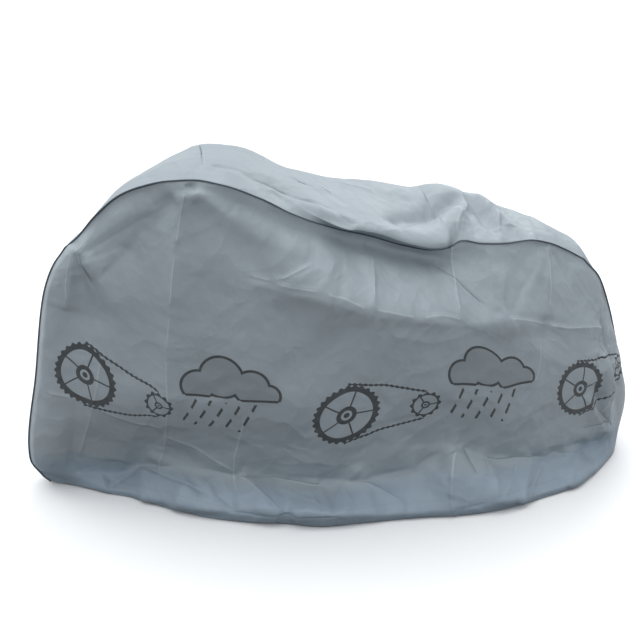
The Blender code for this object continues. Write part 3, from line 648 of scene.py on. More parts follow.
def gusset_grid(left_rim, right_rim):
    """Grid of points, rows along the path and columns from the left seam to the right seam.

    Where there is a lip, the first two knots are the hidden seam and the lip's outer edge.
    """
    path = path_numbers()
    edge, _, lip, _ = seam_points(LEFT, column_shares())
    ends = np.zeros(len(row_depths()) - 1)
    lips = np.concatenate([ends, lip, ends])
    left_edge = left_rim.copy()
    left_edge[len(ends):-len(ends)] = edge
    crown, roundness = (
        smooth(column(CROWN, "path"), column(CROWN, name), path) for name in ("crown", "round"))
    middle = 0.5 * (left_edge + right_rim)
    along = np.gradient(middle, axis=0)
    outward = unit(np.stack([-along[:, 2], np.zeros(len(along)), along[:, 0]], axis=-1))

    def natural(place):
        """The section without its lip, at a place from -1 (left) to 1 (right)."""
        share = (place + 1.0) * 0.5
        rise = crown * (1.0 - np.abs(place) ** roundness)
        return left_edge + (right_rim - left_edge) * share[:, None] + outward * rise[:, None]

    drawn = np.clip(lips / LIP_FULL, 0.0, 1.0)
    lip_edge = natural(FOLD_PLACE - (1.0 + FOLD_PLACE) * drawn)
    free_knots = [natural(np.full(len(path), place)) for place in GUSSET_KNOTS[2:-1]]
    knots = np.stack([left_rim, lip_edge, *free_knots, right_rim])
    grid = np.swapaxes(smooth(GUSSET_KNOTS, knots, gusset_places()), 0, 1)
    return grid, outward, path


def dress_gusset(grid, outward, path):
    """Press the folds, creases and crumple into the gusset."""
    from_seam = 0.5 * (1.0 - np.abs(gusset_places()[None, :]))
    x, y = grid[..., 0], grid[..., 1]
    on_top = ((path > 1.0) & (path < 2.0))[:, None]
    heights = fold_heights(x, y, GUSSET_FOLDS) * fade_in(from_seam)
    close = np.clip(from_seam / EDGE_HOLD, 0.0, 1.0)
    heights += crease_heights(x, y, GUSSET_CREASES + scatter(GUSSET_CRUMPLE, GUSSET_SEED)) * close
    heights += (packing_heights(x, PACKING_GUSSET) + billow(x, y)) * close
    return grid + outward[:, None, :] * (heights * on_top)[..., None]


# ---- room for the binding ----
def seam_frame(seam, side_inner, gusset_inner, side):
    """Directions at each point of a seam: outward along the tape, and into the side panel."""
    along = unit(np.gradient(seam, axis=0))

    def flat(towards):
        return unit(towards - np.sum(towards * along, axis=-1, keepdims=True) * along)

    into_side = flat(side_inner - seam)
    into_gusset = flat(gusset_inner - seam)
    normals = (np.cross(into_gusset, along) - np.cross(into_side, along)) * side
    for _ in range(TAPE_EASING):
        normals[1:-1] = (normals[:-2] + 2.0 * normals[1:-1] + normals[2:]) / 4.0
    return flat(unit(normals)), into_side


def bare_shapes():
    """Both side panels and the gusset before any crease, and the seams that join them."""
    sides = {side: side_grid(side) for side in (LEFT, RIGHT)}
    rims = {side: rim(sides[side]) for side in sides}
    gusset, outward, path = gusset_grid(rims[LEFT], rims[RIGHT])
    inner = {LEFT: gusset[:, 1], RIGHT: gusset[:, -2]}
    frames = {
        side: seam_frame(rims[side], rim_neighbours(sides[side]), inner[side], side)
        for side in sides}
    return sides, rims, gusset, outward, path, frames


def run_lengths(points, axis=0):
    """Distance along rows of points, from 0 at the first."""
    runs = np.cumsum(np.linalg.norm(np.diff(points, axis=axis), axis=-1), axis=axis)
    return np.insert(runs, 0, 0.0, axis=axis)


def panel_cloth(grid):
    """Place in the flat panel: along the print, and up from the hem."""
    along = run_lengths(grid[BELLY_ROW])
    up = run_lengths(grid[::-1])[::-1]
    return np.stack([np.broadcast_to(along, up.shape), up, np.zeros_like(up)], axis=-1)


def gusset_cloth(grid):
    """Place in the flat gusset: along it from the front hem, and across it from its left edge."""
    along = run_lengths(grid[:, grid.shape[1] // 2])[:, None]
    across = run_lengths(grid, axis=1)
    return np.stack([np.broadcast_to(along, across.shape), across, np.zeros_like(across)], axis=-1)


# ---- objects ----
def new_piece(context, name, mesh, material):
    """Link a mesh as the active piece of the cover, on the body, with its material."""
    mesh.materials.append(material)
    piece = bpy.data.objects.new(name, mesh)
    context.scene.collection.objects.link(piece)
    bpy.ops.object.select_all(action="DESELECT")
    piece.select_set(True)
    context.view_layer.objects.active = piece
    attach(piece, "root")
    return piece


def hang_sheet(context, name, grid, cloth, material, flip):
    """A sheet of film through a grid of points, given its thickness inward."""
    rows, columns = grid.shape[:2]
    index = np.arange(rows * columns).reshape(rows, columns)
    corners = [index[:-1, :-1], index[:-1, 1:], index[1:, 1:], index[1:, :-1]]
    if flip:
        corners = corners[::-1]
    faces = np.stack([corner.ravel() for corner in corners], axis=-1)
    mesh = bpy.data.meshes.new(name)
    mesh.from_pydata((grid.reshape(-1, 3) - MOUNT).tolist(), [], faces.tolist())
    place = mesh.attributes.new("cloth", "FLOAT_VECTOR", "POINT")
    place.data.foreach_set("vector", cloth.reshape(-1).astype(np.float32))
    mesh.shade_smooth()
    piece = new_piece(context, name, mesh, material)
    wall = piece.modifiers.new("Film thickness", "SOLIDIFY")
    wall.thickness = context.scene.bicycle_cover_sizes.film_thickness
    wall.offset = -1.0
    bpy.ops.object.modifier_apply(modifier=wall.name)
    return piece


def sweep(path, across, upward, profile):
    """Vertices and faces of a closed profile, given as (across, upward) pairs, along a path."""
    rings = (
        path[:, None, :]
        + across[:, None, :] * profile[None, :, 0, None]
        + upward[:, None, :] * profile[None, :, 1, None])
    count, size = rings.shape[:2]
    faces = [
        (ring * size + step, ring * size + (step + 1) % size,
         (ring + 1) * size + (step + 1) % size, (ring + 1) * size + step)
        for ring in range(count - 1) for step in range(size)]
    faces += [tuple(range(size))[::-1], tuple((count - 1) * size + step for step in range(size))]
    return rings.reshape(-1, 3), faces


def tape_profile(thickness, tall):
    """Section of tape folded over the cloth edges: two flat legs and a round fold at the top."""
    half = 0.5 * thickness
    fold = [
        (half * math.cos(turn), tall - half + half * math.sin(turn))
        for turn in np.linspace(0.0, math.pi, TAPE_FOLD_STEPS)]
    return np.array([(half, -BINDING_ROOT), *fold, (-half, -BINDING_ROOT)])


def stitch_shape(context, length, radius):
    """One stitch: a short thread, thicker in its middle, that lies along X."""
    bpy.ops.object.select_all(action="DESELECT")
    bpy.ops.mesh.primitive_cylinder_add(
        vertices=STITCH_SIDES, radius=radius, depth=length, rotation=(0.0, math.pi / 2.0, 0.0))
    stitch = context.active_object
    bpy.ops.object.transform_apply(rotation=True)
    bpy.ops.object.mode_set(mode="EDIT")
    bpy.ops.mesh.select_all(action="SELECT")
    bpy.ops.mesh.subdivide(number_cuts=1)
    bpy.ops.object.mode_set(mode="OBJECT")
    for vertex in stitch.data.vertices:
        from_middle = abs(vertex.co.x) / (0.5 * length)
        slim = 1.0 - STITCH_TAPER * from_middle**2
        vertex.co.y *= slim
        vertex.co.z = vertex.co.z * slim - radius * from_middle**2
    return stitch


def lay_stitches(context, name, points, normals, thread):
    """Copy one stitch along a line of points, each lying on the cloth with its normal upward."""
    sizes = context.scene.bicycle_cover_sizes
    stitch = stitch_shape(context, sizes.stitch_length, sizes.thread_radius)
    run = run_lengths(points)
    merged = bmesh.new()
    for start in np.arange(sizes.stitch_pitch, run[-1] - sizes.stitch_pitch, sizes.stitch_pitch):
        place, ahead, up = (
            Vector([float(np.interp(at, run, values[:, axis])) for axis in range(3)])
            for at, values in ((start, points), (start + STITCH_AHEAD, points), (start, normals)))
        forward = (ahead - place).normalized()
        side = up.cross(forward).normalized()
        up = forward.cross(side)
        turn = Matrix((forward, side, up)).transposed().to_4x4()
        before = len(merged.verts)
        merged.from_mesh(stitch.data)
        merged.verts.ensure_lookup_table()
        bmesh.ops.transform(
            merged, matrix=Matrix.Translation(place) @ turn, verts=merged.verts[before:])
    mesh = bpy.data.meshes.new(name)
    merged.to_mesh(mesh)
    merged.free()
    bpy.data.objects.remove(stitch, do_unlink=True)
    mesh.shade_smooth()
    return new_piece(context, name, mesh, thread)


# ---- materials ----
VECTOR_MATH, MIX, SEPARATE = "ShaderNodeVectorMath", "ShaderNodeMix", "ShaderNodeSeparateXYZ"
NOISE, VORONOI, BUMP = "ShaderNodeTexNoise", "ShaderNodeTexVoronoi", "ShaderNodeBump"
SHARE, FIRST, SECOND, MIXED = 0, 6, 7, 2  # a colour mix's inputs, and its output


def linear(colour):
    """An sRGB hex colour, such as 'A9B3BB', as linear RGBA."""
    parts = [int(colour[start:start + 2], 16) / 255.0 for start in (0, 2, 4)]
    return (*(part / 12.92 if part <= 0.04045 else ((part + 0.055) / 1.055) ** 2.4
              for part in parts), 1.0)


def connect(node, inputs):
    """Set or link a node's inputs, by place or by name."""
    for key, value in (inputs.items() if isinstance(inputs, dict) else enumerate(inputs)):
        source = value.outputs[0] if isinstance(value, bpy.types.Node) else value
        if isinstance(source, bpy.types.NodeSocket):
            node.id_data.links.new(source, node.inputs[key])
        else:
            node.inputs[key].default_value = source


def add_node(tree, kind, inputs=(), **settings):
    """Add a node with its settings and inputs. Any other kind is a Math node's operation."""
    if not kind.startswith("ShaderNode"):
        kind, settings["operation"] = "ShaderNodeMath", kind
    node = tree.nodes.new(kind)
    for name, value in settings.items():
        setattr(node, name, value)
    connect(node, inputs)
    return node


def new_material(name):
    """An empty Principled material: itself, its way to add nodes, and its shader node."""
    material = bpy.data.materials.new(name)
    material.use_nodes = True
    tree = material.node_tree
    return material, partial(add_node, tree), tree.nodes["Principled BSDF"]


def distance(add, across, up):
    """Distance from the middle of a figure of the print."""
    return add("POWER", (
        add("ADD", (add("MULTIPLY", (across, across)), add("MULTIPLY", (up, up)))), 0.5))


def darkest(add, inks):
    """The darkest of several inks."""
    return reduce(lambda total, ink: add("MAXIMUM", (total, ink)), inks)


def chain_drive_print(add, along, up):
    """Ink of a large toothed ring, a small one and the chain round both, 0 to 1."""
    far = add("SUBTRACT", (along, DRIVE_SPAN))
    height = add("ABSOLUTE", (up,))
    inks = []
    for across, radius, teeth, arms in (
            (along, DRIVE_RADIUS, 28, 5), (far, SMALL_RADIUS, 12, 3)):
        reach = distance(add, across, up)
        angle = add("ARCTAN2", (up, across))
        wave = add("COSINE", (add("MULTIPLY", (angle, float(teeth))),))
        edge = add("MULTIPLY_ADD", (wave, TOOTH_DEPTH, radius))
        inside = add("LESS_THAN", (reach, edge))
        past_rim = add("GREATER_THAN", (reach, radius * RIM_INSIDE))
        inks.append(add("MULTIPLY", (inside, past_rim)))
        inks.append(add("COMPARE", (reach, radius * HUB_RING, radius * HUB_HALF)))
        inks.append(add("LESS_THAN", (reach, radius * AXLE)))
        spread = add("ABSOLUTE", (add("SINE", (add("MULTIPLY", (angle, 0.5 * arms)),)),))
        arm = add("LESS_THAN", (add("MULTIPLY", (spread, reach)), ARM_WIDE * 0.25 * arms))
        within = add("LESS_THAN", (reach, radius * ARM_END))
        past_hub = add("GREATER_THAN", (reach, radius * HUB_RING))
        inks.append(add("MULTIPLY", (arm, add("MULTIPLY", (within, past_hub)))))
    slope = (SMALL_RADIUS - DRIVE_RADIUS) / DRIVE_SPAN
    run = add("MULTIPLY_ADD", (along, slope, DRIVE_RADIUS + CHAIN_OFF))
    link = add("SINE", (add("MULTIPLY", (along, 2.0 * math.pi / LINK_PITCH)),))
    thick = add("MULTIPLY_ADD", (link, LINK_SWELL, CHAIN_HALF))
    on_run = add("COMPARE", (height, run, thick))
    between = add("COMPARE", (along, 0.5 * DRIVE_SPAN, 0.5 * DRIVE_SPAN))
    return darkest(add, [*inks, add("MULTIPLY", (on_run, between))])


def rain_cloud_print(add, along, up):
    """Ink of a cloud's outline with slanting rain below it, 0 to 1, and the cloud's grey inside."""
    gaps = []
    for centre_x, centre_up, radius in CLOUD_PUFFS:
        across = add("SUBTRACT", (along, centre_x))
        over = add("SUBTRACT", (up, centre_up))
        gaps.append(add("SUBTRACT", (distance(add, across, over), radius)))
    nearest = reduce(lambda least, gap: add("MINIMUM", (least, gap)), gaps)
    above = add("GREATER_THAN", (up, 0.0))
    outline = add("MULTIPLY", (add("COMPARE", (nearest, 0.0, CLOUD_LINE)), above))
    inside = add("LESS_THAN", (nearest, 0.0))
    base = add("MULTIPLY", (add("COMPARE", (up, 0.0, CLOUD_LINE)), inside))
    slant = add("MULTIPLY_ADD", (up, RAIN_SLANT, along))
    streak = add("COMPARE", (add("WRAP", (slant, RAIN_APART, -RAIN_APART)), 0.0, RAIN_LINE))
    fall = add("WRAP", (
        add("MULTIPLY_ADD", (slant, DASH_SHIFT, up)), DASH_APART, -DASH_APART))
    dash = add("COMPARE", (fall, 0.0, DASH_LONG))
    under = add("COMPARE", (up, RAIN_MIDDLE, RAIN_TALL))
    wide = add("COMPARE", (slant, 0.0, RAIN_WIDE))
    rain = add("MULTIPLY", (add("MULTIPLY", (streak, dash)), add("MULTIPLY", (under, wide))))
    grey = add("MULTIPLY", (inside, above))
    return darkest(add, [outline, base, rain]), grey


def print_colour(add, finish, colour, along, up, specks):
    """The film's colour with the print's grey and ink over it."""
    first = add("WRAP", (
        add("SUBTRACT", (along, PRINT_START)), PRINT_SHARE * PRINT_REPEAT,
        (PRINT_SHARE - 1.0) * PRINT_REPEAT))
    level = add("MULTIPLY_ADD", (along, PRINT_FALL, up))
    drives = chain_drive_print(add, first, add("SUBTRACT", (level, PRINT_HEIGHT)))
    second = add("WRAP", (
        add("SUBTRACT", (along, PRINT_START + PRINT_SHARE * PRINT_REPEAT)),
        0.5 * PRINT_REPEAT, -0.5 * PRINT_REPEAT))
    clouds, grey = rain_cloud_print(
        add, second, add("SUBTRACT", (level, PRINT_HEIGHT + PRINT_STAGGER)))
    ink = darkest(add, [drives, clouds])
    shaded = add(MIX, {
        SHARE: add("MULTIPLY", (grey, PRINT_FILL)), FIRST: colour,
        SECOND: linear(finish.print_grey)}, data_type="RGBA").outputs[MIXED]
    # The ink is a little thin, so the film shows through it in patches.
    cover = add("MULTIPLY", (ink, add("MULTIPLY_ADD", (specks, INK_SPECKS, INK_LEAST))))
    return add(MIX, {
        SHARE: cover, FIRST: shaded, SECOND: linear(finish.print_ink)},
        data_type="RGBA").outputs[MIXED]


def sharp_folds(add, place, folds):
    """Height of the film's sharp ridge lines and of its groove lines, 1 on a line itself."""
    heights = {1: 0.0, -1: 0.0}
    for fold in folds:
        start = Vector((fold["along_a"], fold["up_a"], 0.0))
        run = Vector((fold["along_b"], fold["up_b"], 0.0)) - start
        ahead, length = run.normalized(), run.length
        off, share = (
            add(VECTOR_MATH, (place, axis), operation="DOT_PRODUCT").outputs["Value"]
            for axis in (Vector((-ahead.y, ahead.x, 0.0)), ahead))
        apart = add("ABSOLUTE", (
            add("SUBTRACT", (off, start.x * -ahead.y + start.y * ahead.x)),))
        rise = add("MULTIPLY_ADD", (apart, -1.0 / SHARP_WIDE, 1.0), use_clamp=True)
        from_middle = add("ABSOLUTE", (
            add("SUBTRACT", (share, start.dot(ahead) + 0.5 * length)),))
        within = add("MULTIPLY_ADD", (
            from_middle, -1.0 / SHARP_FADE, 0.5 * length / SHARP_FADE), use_clamp=True)
        # The highest so far is kept at once: a long list of them is too much for the renderer.
        heights[fold["raised"]] = add("MAXIMUM", (
            heights[fold["raised"]], add("MULTIPLY", (rise, within))))
    return heights[1], heights[-1]


def silver_peva_film(name, finish, printed):
    """PEVA film, calendered and embossed, with a silver pigment.

    The pigment's flakes give it a soft broad sheen, the emboss keeps it from shining like glass,
    and it holds small sharp crumples between the larger creases.
    """
    material, add, shader = new_material(name)
    place = add("ShaderNodeAttribute", attribute_name="cloth").outputs["Vector"]
    along, up = add(SEPARATE, (place,)).outputs[:2]
    # Pigment and dust: patches about 120 mm across, and finer ones about 25 mm across.
    patches = add(NOISE, {"Vector": place, "Scale": 8.0, "Detail": 3.0, "Roughness": 0.55})
    specks = add(NOISE, {"Vector": place, "Scale": 40.0, "Detail": 4.0, "Roughness": 0.6})
    tone = add("MULTIPLY_ADD", (patches, PATCH_SHARE, add("MULTIPLY", (specks, SPECK_SHARE))))
    film = add(MIX, {
        SHARE: tone, FIRST: linear(finish.film_shade), SECOND: linear(finish.film_colour)},
        data_type="RGBA").outputs[MIXED]
    # The sharp folds wander from their straight lines, and turn about every 80 mm.
    stray = Vector((WANDER, WANDER, 0.0))
    wander = add(VECTOR_MATH, (
        add(NOISE, {"Vector": place, "Scale": 12.0}).outputs["Color"], 2.0 * stray,
        add(VECTOR_MATH, (place, stray), operation="SUBTRACT")), operation="MULTIPLY_ADD")
    ridges, grooves = sharp_folds(add, wander, PANEL_SHARP if printed else GUSSET_SHARP)
    # Near the hem the side panels are darker and bluer, and the painted highlight and painted shade
    # of the sharp folds are dimmed there. On the gusset only the dimming acts, near its left seam.
    near_hem = add(
        "MULTIPLY_ADD", (up, -1.0 / HEM_TINT_EDGE, HEM_TINT_TOP / HEM_TINT_EDGE), use_clamp=True)
    fold_paint_kept = add("MULTIPLY_ADD", (near_hem, -HEM_DIMS_FOLD_PAINT, 1.0))
    colour = add(MIX, {
        SHARE: add("MULTIPLY", (near_hem, HEM_TINT_COVER if printed else 0.0)), FIRST: film,
        SECOND: linear(finish.film_near_hem)}, data_type="RGBA").outputs[MIXED]
    # Painted shade along the sharp grooves, stronger on the gusset.
    groove_shade = GROOVE_SHADE_ON_PANEL if printed else GROOVE_SHADE_ON_GUSSET
    # Painted highlight along the tops of the sharp ridges, and painted shade along the sharp
    # grooves.
    for fold, strength, tint in (
            (ridges, RIDGE_HIGHLIGHT, finish.film_ridge_highlight), (grooves, groove_shade, finish.film_groove_shade)):
        on_line = add("MULTIPLY", (fold_paint_kept, add("GREATER_THAN", (fold, SHARP_PAINT_FROM))))
        share = add("MULTIPLY", (on_line, add("MULTIPLY", (specks, strength))), use_clamp=True)
        colour = add(MIX, {
            SHARE: share, FIRST: colour, SECOND: linear(tint)}, data_type="RGBA").outputs[MIXED]
    if printed:
        colour = print_colour(add, finish, colour, along, up, specks)
    sheen = add("MULTIPLY_ADD", (patches, SHEEN_PATCHES, SHEEN_LEAST))
    # Fine crumple: ridges 30 to 80 mm apart, under the size that the sheet's own cells can hold.
    bent = add(NOISE, {"Vector": place, "Scale": 5.0, "Detail": 2.0, "Distortion": 0.4})
    moved = add(VECTOR_MATH, (
        bent.outputs["Color"], (0.12, 0.12, 0.0), place), operation="MULTIPLY_ADD")
    crumple = add(VORONOI, {
        "Vector": moved, "Scale": 8.0, "Detail": 1.6, "Roughness": 0.45, "Lacunarity": 2.3},
        feature="F1")
    # The emboss is a 1.2 mm grain. It is drawn 3 mm wide, because finer grain would not show.
    grain = add(
        VORONOI, {"Vector": place, "Scale": 330.0, "Smoothness": 0.6}, feature="SMOOTH_F1")
    coarse = add(BUMP, {"Strength": 0.8, "Distance": 0.0100, "Height": crumple})
    sharp = add(BUMP, {
        "Strength": 1.0, "Distance": SHARP_TALL, "Normal": coarse,
        "Height": add("SUBTRACT", (ridges, grooves))})
    fine = add(BUMP, {"Strength": 0.25, "Distance": 0.0005, "Height": grain, "Normal": sharp})
    connect(shader, {
        "Base Color": colour, "Roughness": sheen, "Normal": fine, "Metallic": 0.10, "IOR": 1.49})
    return material


def woven_binding_tape(name, finish):
    """Polyester grosgrain tape, woven with ribs across it, so it is matt and very dark."""
    material, add, shader = new_material(name)
    place = add("ShaderNodeTexCoord").outputs["Object"]
    # Ribs 1 mm apart, drawn 2 mm apart so that they show.
    ribs = add("ShaderNodeTexWave", {
        "Vector": place, "Scale": 160.0, "Distortion": 1.5, "Detail": 2.0}, bands_direction="X")
    worn = add(NOISE, {"Vector": place, "Scale": 30.0, "Detail": 3.0})
    shade = add(MIX, {
        SHARE: worn, FIRST: linear(finish.tape_colour), SECOND: linear(finish.tape_worn)},
        data_type="RGBA").outputs[MIXED]
    bump = add(BUMP, {"Strength": 0.5, "Distance": 0.0003, "Height": ribs.outputs["Fac"]})
    connect(shader, {
        "Base Color": shade, "Normal": bump, "Roughness": 0.75, "Sheen Weight": 0.15})
    return material


def polyester_thread(name, finish):
    """Twisted polyester sewing thread, slightly glossy along its strands."""
    material, add, shader = new_material(name)
    place = add("ShaderNodeTexCoord").outputs["Object"]
    strands = add(NOISE, {"Vector": place, "Scale": 900.0, "Detail": 1.0})
    shade = add(MIX, {
        SHARE: strands, FIRST: linear(finish.thread_shade), SECOND: linear(finish.thread_colour)},
        data_type="RGBA").outputs[MIXED]
    connect(shader, {"Base Color": shade, "Roughness": 0.5})
    return material


def studio_floor(name, finish):
    """Seamless paper, matt and plain."""
    material, _, shader = new_material(name)
    connect(shader, {
        "Base Color": linear(finish.floor_colour), "Roughness": 0.95, "Specular IOR Level": 0.1})
    return material


def round_light(name):
    """Even light from the studio's walls and ceiling, and little from below."""
    world = bpy.data.worlds.new(name)
    world.use_nodes = True
    add = partial(add_node, world.node_tree)
    heading = add("ShaderNodeTexCoord").outputs["Generated"]
    level = add("MULTIPLY_ADD", (add(SEPARATE, (heading,)).outputs["Z"], 0.5, 0.5))
    ramp = add("ShaderNodeValToRGB", (level,))
    stops = ramp.color_ramp.elements
    while len(stops) < len(ROUND_LIGHT):
        stops.new(0.5)
    for stop, (place, bright) in zip(stops, ROUND_LIGHT):
        stop.position = place
        stop.color = (*(bright * tint for tint in ROUND_TINT), 1.0)
    connect(world.node_tree.nodes["Background"], {"Strength": ROUND_STRENGTH, "Color": ramp})
    return world


# ---- settings ----
def metres(name, description, default, least, most):
    """A length that a user may change."""
    return bpy.props.FloatProperty(
        name=name, description=description, default=default, min=least, max=most, unit="LENGTH",
        subtype="DISTANCE", precision=4)


def hex_colour(name, description, default):
    """A colour that a user may change, as sRGB hex."""
    return bpy.props.StringProperty(name=name, description=description, default=default, maxlen=6)


class BicycleCoverSizes(bpy.types.PropertyGroup):
    """Sizes of the cover's cloth and sewing"""

    film_thickness: metres("Film thickness", "Thickness of the film sheets", 0.0008, 0.0002, 0.002)
    tape_thickness: metres("Tape thickness", "Thickness of the folded tape", 0.0026, 0.001, 0.005)
    tape_height: metres("Tape height", "How far the tape stands out", 0.0042, 0.003, 0.01)
    stitch_length: metres("Stitch length", "Length of one stitch", 0.0038, 0.002, 0.008)
    stitch_pitch: metres("Stitch pitch", "From one stitch to the next", 0.0050, 0.003, 0.01)
    thread_radius: metres("Thread radius", "Radius of the sewing thread", 0.0004, 0.0002, 0.001)
    hem_depth: metres("Hem depth", "How far the hem is turned up", 0.022, 0.01, 0.04)


class BicycleCoverFinish(bpy.types.PropertyGroup):
    """Colours of the cover and of the stage"""

    film_colour: hex_colour("Film", "Silver film where it is clean", "9EA8AF")
    film_shade: hex_colour("Film shade", "Silver film where it is dusty", "8A949B")
    # Painted highlight along the sharp ridges.
    film_ridge_highlight: hex_colour("Film ridge highlight", "Painted highlight along a sharp ridge of the film", "C4CDD4")
    # Darker, bluer film near the hem.
    film_near_hem: hex_colour("Film near hem", "Silver film near the hem", "8596A5")
    # Painted shade along the sharp grooves.
    film_groove_shade: hex_colour("Film groove shade", "Painted shade along a sharp groove of the film", "4C565D")
    print_ink: hex_colour("Print ink", "Lines of the print", "15191C")
    print_grey: hex_colour("Print grey", "Filled parts of the print", "4A5157")
    tape_colour: hex_colour("Tape", "Binding tape", "434E57")
    tape_worn: hex_colour("Tape worn", "Binding tape where it is rubbed", "505B61")
    thread_colour: hex_colour("Thread", "Sewing thread", "7E888E")
    thread_shade: hex_colour("Thread shade", "Sewing thread between its strands", "5A6368")
    floor_colour: hex_colour("Floor", "Studio paper", "F2F3F4")


# ---- operators ----
class SidePanels(bpy.types.Operator):
    """Hang both side panels of printed film, with their folds and creases"""

    bl_idname = "bicycle_cover.side_panels"
    bl_label = "Side panels"

    def execute(self, context):
        sides = bare_shapes()[0]
        finish = context.scene.bicycle_cover_finish
        film = silver_peva_film("printed silver PEVA film", finish, True)
        for side, label in SIDES:
            piece = hang_sheet(
                context, f"side_film_{label}", dress_side(sides[side], side),
                panel_cloth(sides[side]), film, flip=side == LEFT)
            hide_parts(f"side_panel_{label}")
        return {"FINISHED"}


class TopGusset(bpy.types.Operator):
    """Hang the gusset that runs from the front hem over the top to the rear hem"""

    bl_idname = "bicycle_cover.top_gusset"
    bl_label = "Top gusset"

    def execute(self, context):
        _, _, bare, outward, path, _ = bare_shapes()
        finish = context.scene.bicycle_cover_finish
        film = silver_peva_film("plain silver PEVA film", finish, False)
        piece = hang_sheet(
            context, "gusset_film", dress_gusset(bare, outward, path), gusset_cloth(bare), film,
            flip=True)
        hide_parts("top_gusset")
        return {"FINISHED"}


class SeamBinding(bpy.types.Operator):
    """Fold the dark tape over both seams"""

    bl_idname = "bicycle_cover.seam_binding"
    bl_label = "Seam binding"

    def execute(self, context):
        sizes = context.scene.bicycle_cover_sizes
        _, rims, _, _, _, frames = bare_shapes()
        tape = woven_binding_tape("grosgrain binding tape", context.scene.bicycle_cover_finish)
        profile = tape_profile(sizes.tape_thickness, sizes.tape_height)
        for side, label in SIDES:
            outward = frames[side][0]
            across = np.cross(unit(np.gradient(rims[side], axis=0)), outward)
            points, faces = sweep(rims[side] - MOUNT, across, outward, profile)
            mesh = bpy.data.meshes.new(f"binding_tape_{label}")
            mesh.from_pydata(points.tolist(), [], faces)
            shape = bmesh.new()
            shape.from_mesh(mesh)
            bmesh.ops.recalc_face_normals(shape, faces=shape.faces)
            shape.to_mesh(mesh)
            shape.free()
            mesh.shade_smooth()
            piece = new_piece(context, f"binding_tape_{label}", mesh, tape)
            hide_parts(f"binding_{label}")
        return {"FINISHED"}


class Stitching(bpy.types.Operator):
    """Sew the tape and the hems with rows of single stitches"""

    bl_idname = "bicycle_cover.stitching"
    bl_label = "Stitching"

    def execute(self, context):
        sizes = context.scene.bicycle_cover_sizes
        sides, rims, _, _, _, frames = bare_shapes()
        thread = polyester_thread("twisted polyester thread", context.scene.bicycle_cover_finish)
        stand = STITCH_STAND * sizes.thread_radius
        for side, label in SIDES:
            outward, into_side = frames[side]
            across = np.cross(unit(np.gradient(rims[side], axis=0)), outward)
            across = across * np.sign(np.sum(across * into_side, axis=-1, keepdims=True))
            line = rims[side] - MOUNT + outward * 0.5 * sizes.tape_height
            line = line + across * (0.5 * sizes.tape_thickness + stand)
            seam = lay_stitches(context, f"seam_stitches_{label}", line, across, thread)
            # The hem's stitches lie at one height above the hem, between two rows of the grid.
            grid = dress_side(sides[side], side)
            height = panel_cloth(sides[side])[..., 1]
            target = HEM_FOLD + sizes.hem_depth
            row = np.argmin(np.abs(height - target), axis=0)
            columns = np.arange(grid.shape[1])
            step = np.where(height[row, columns] > target, 1, -1)
            other = np.clip(row + step, 0, grid.shape[0] - 1)
            share = (height[row, columns] - target) / (
                height[row, columns] - height[other, columns])
            share = np.clip(share, 0.0, 1.0)[:, None]
            line = grid[row, columns] * (1.0 - share) + grid[other, columns] * share
            normals = unit(surface_normals(grid, side)[row, columns])
            line = line - MOUNT + normals * stand
            hem = lay_stitches(
                context, f"hem_stitches_{label}", line[HEM_ENDS:-HEM_ENDS],
                normals[HEM_ENDS:-HEM_ENDS], thread)
        return {"FINISHED"}


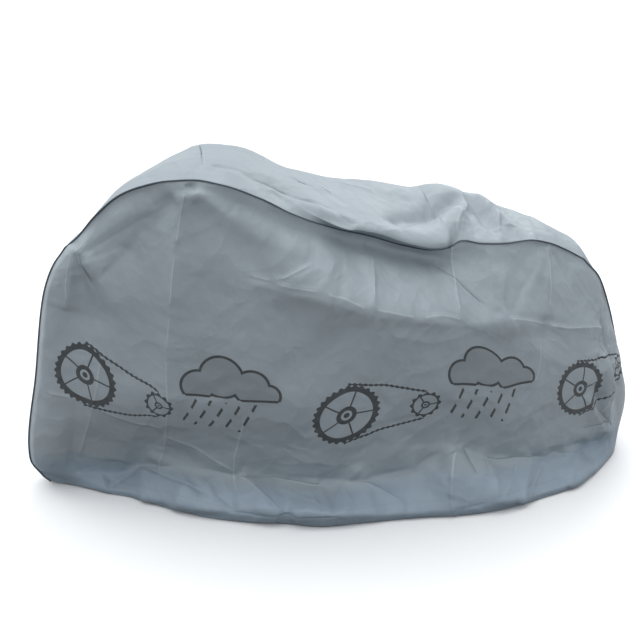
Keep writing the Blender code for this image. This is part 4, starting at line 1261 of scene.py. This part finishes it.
class Stage(bpy.types.Operator):
    """Add the studio floor, the soft lights and the camera"""

    bl_idname = "bicycle_cover.stage"
    bl_label = "Stage"

    def execute(self, context):
        bpy.ops.object.select_all(action="DESELECT")
        bpy.ops.mesh.primitive_plane_add(size=1.0, location=(0.0, 0.0, 0.0))
        floor = context.active_object
        floor.name = "studio_floor"
        bpy.ops.object.mode_set(mode="EDIT")
        bpy.ops.mesh.select_all(action="SELECT")
        bpy.ops.transform.resize(value=(FLOOR_SIZE, FLOOR_SIZE, 1.0))
        bpy.ops.transform.translate(value=(0.0, 0.0, -float(MOUNT[2])))
        bpy.ops.object.mode_set(mode="OBJECT")
        floor.data.materials.append(
            studio_floor("studio paper", context.scene.bicycle_cover_finish))
        # The paper shows white, but it throws no light up under the cover.
        floor.visible_diffuse = False
        for name, place, target, wide, power, tint in SOFT_LIGHTS:
            bpy.ops.object.light_add(type="AREA", location=place)
            light = context.active_object
            light.name = name
            light.data.shape = "RECTANGLE"
            light.data.size, light.data.size_y = wide
            light.data.energy = power
            light.data.color = tint
            aim = Vector(target) - Vector(place)
            light.rotation_euler = aim.to_track_quat("-Z", "Y").to_euler()
        bpy.ops.object.light_add(type="SUN", location=SKY_PLACE, rotation=(
            math.radians(SKY_LEAN[0]), math.radians(SKY_LEAN[1]), 0.0))
        sky = context.active_object
        sky.name = "overhead_light"
        sky.data.angle = math.radians(SKY_WIDE)
        sky.data.energy = SKY_STRENGTH
        context.scene.world = round_light("studio walls")
        bpy.ops.object.camera_add(
            location=CAMERA_PLACE,
            rotation=(math.radians(90.0 - CAMERA_DOWN), 0.0, math.radians(-CAMERA_RIGHT)))
        camera = context.active_object
        camera.name = "camera"
        camera.data.sensor_width = SENSOR_WIDE
        camera.data.lens = SENSOR_WIDE * FOCAL_PIXELS / FRAME_PIXELS
        context.scene.camera = camera
        context.scene.view_settings.view_transform = "Standard"
        return {"FINISHED"}


class BicycleCoverPanel(bpy.types.Panel):
    """The cover's pieces, sizes and colours"""

    bl_idname = "VIEW3D_PT_bicycle_cover"
    bl_label = "Bicycle cover"
    bl_space_type = "VIEW_3D"
    bl_region_type = "UI"
    bl_category = "Bicycle cover"

    def draw(self, context):
        layout = self.layout
        for operator in OPERATORS:
            layout.operator(operator.bl_idname)
        for group in (context.scene.bicycle_cover_sizes, context.scene.bicycle_cover_finish):
            box = layout.box()
            for name in group.__annotations__:
                box.prop(group, name)


OPERATORS = (SidePanels, TopGusset, SeamBinding, Stitching, Stage)
CLASSES = (BicycleCoverSizes, BicycleCoverFinish, *OPERATORS, BicycleCoverPanel)


def register():
    for cls in CLASSES:
        bpy.utils.register_class(cls)
    bpy.types.Scene.bicycle_cover_sizes = bpy.props.PointerProperty(type=BicycleCoverSizes)
    bpy.types.Scene.bicycle_cover_finish = bpy.props.PointerProperty(type=BicycleCoverFinish)


def unregister():
    del bpy.types.Scene.bicycle_cover_finish
    del bpy.types.Scene.bicycle_cover_sizes
    for cls in reversed(CLASSES):
        bpy.utils.unregister_class(cls)


def main():
    register()
    bpy.ops.bicycle_cover.side_panels()
    bpy.ops.bicycle_cover.top_gusset()
    bpy.ops.bicycle_cover.seam_binding()
    bpy.ops.bicycle_cover.stitching()
    bpy.ops.bicycle_cover.stage()
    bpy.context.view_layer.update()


if __name__ == "__main__":
    main()
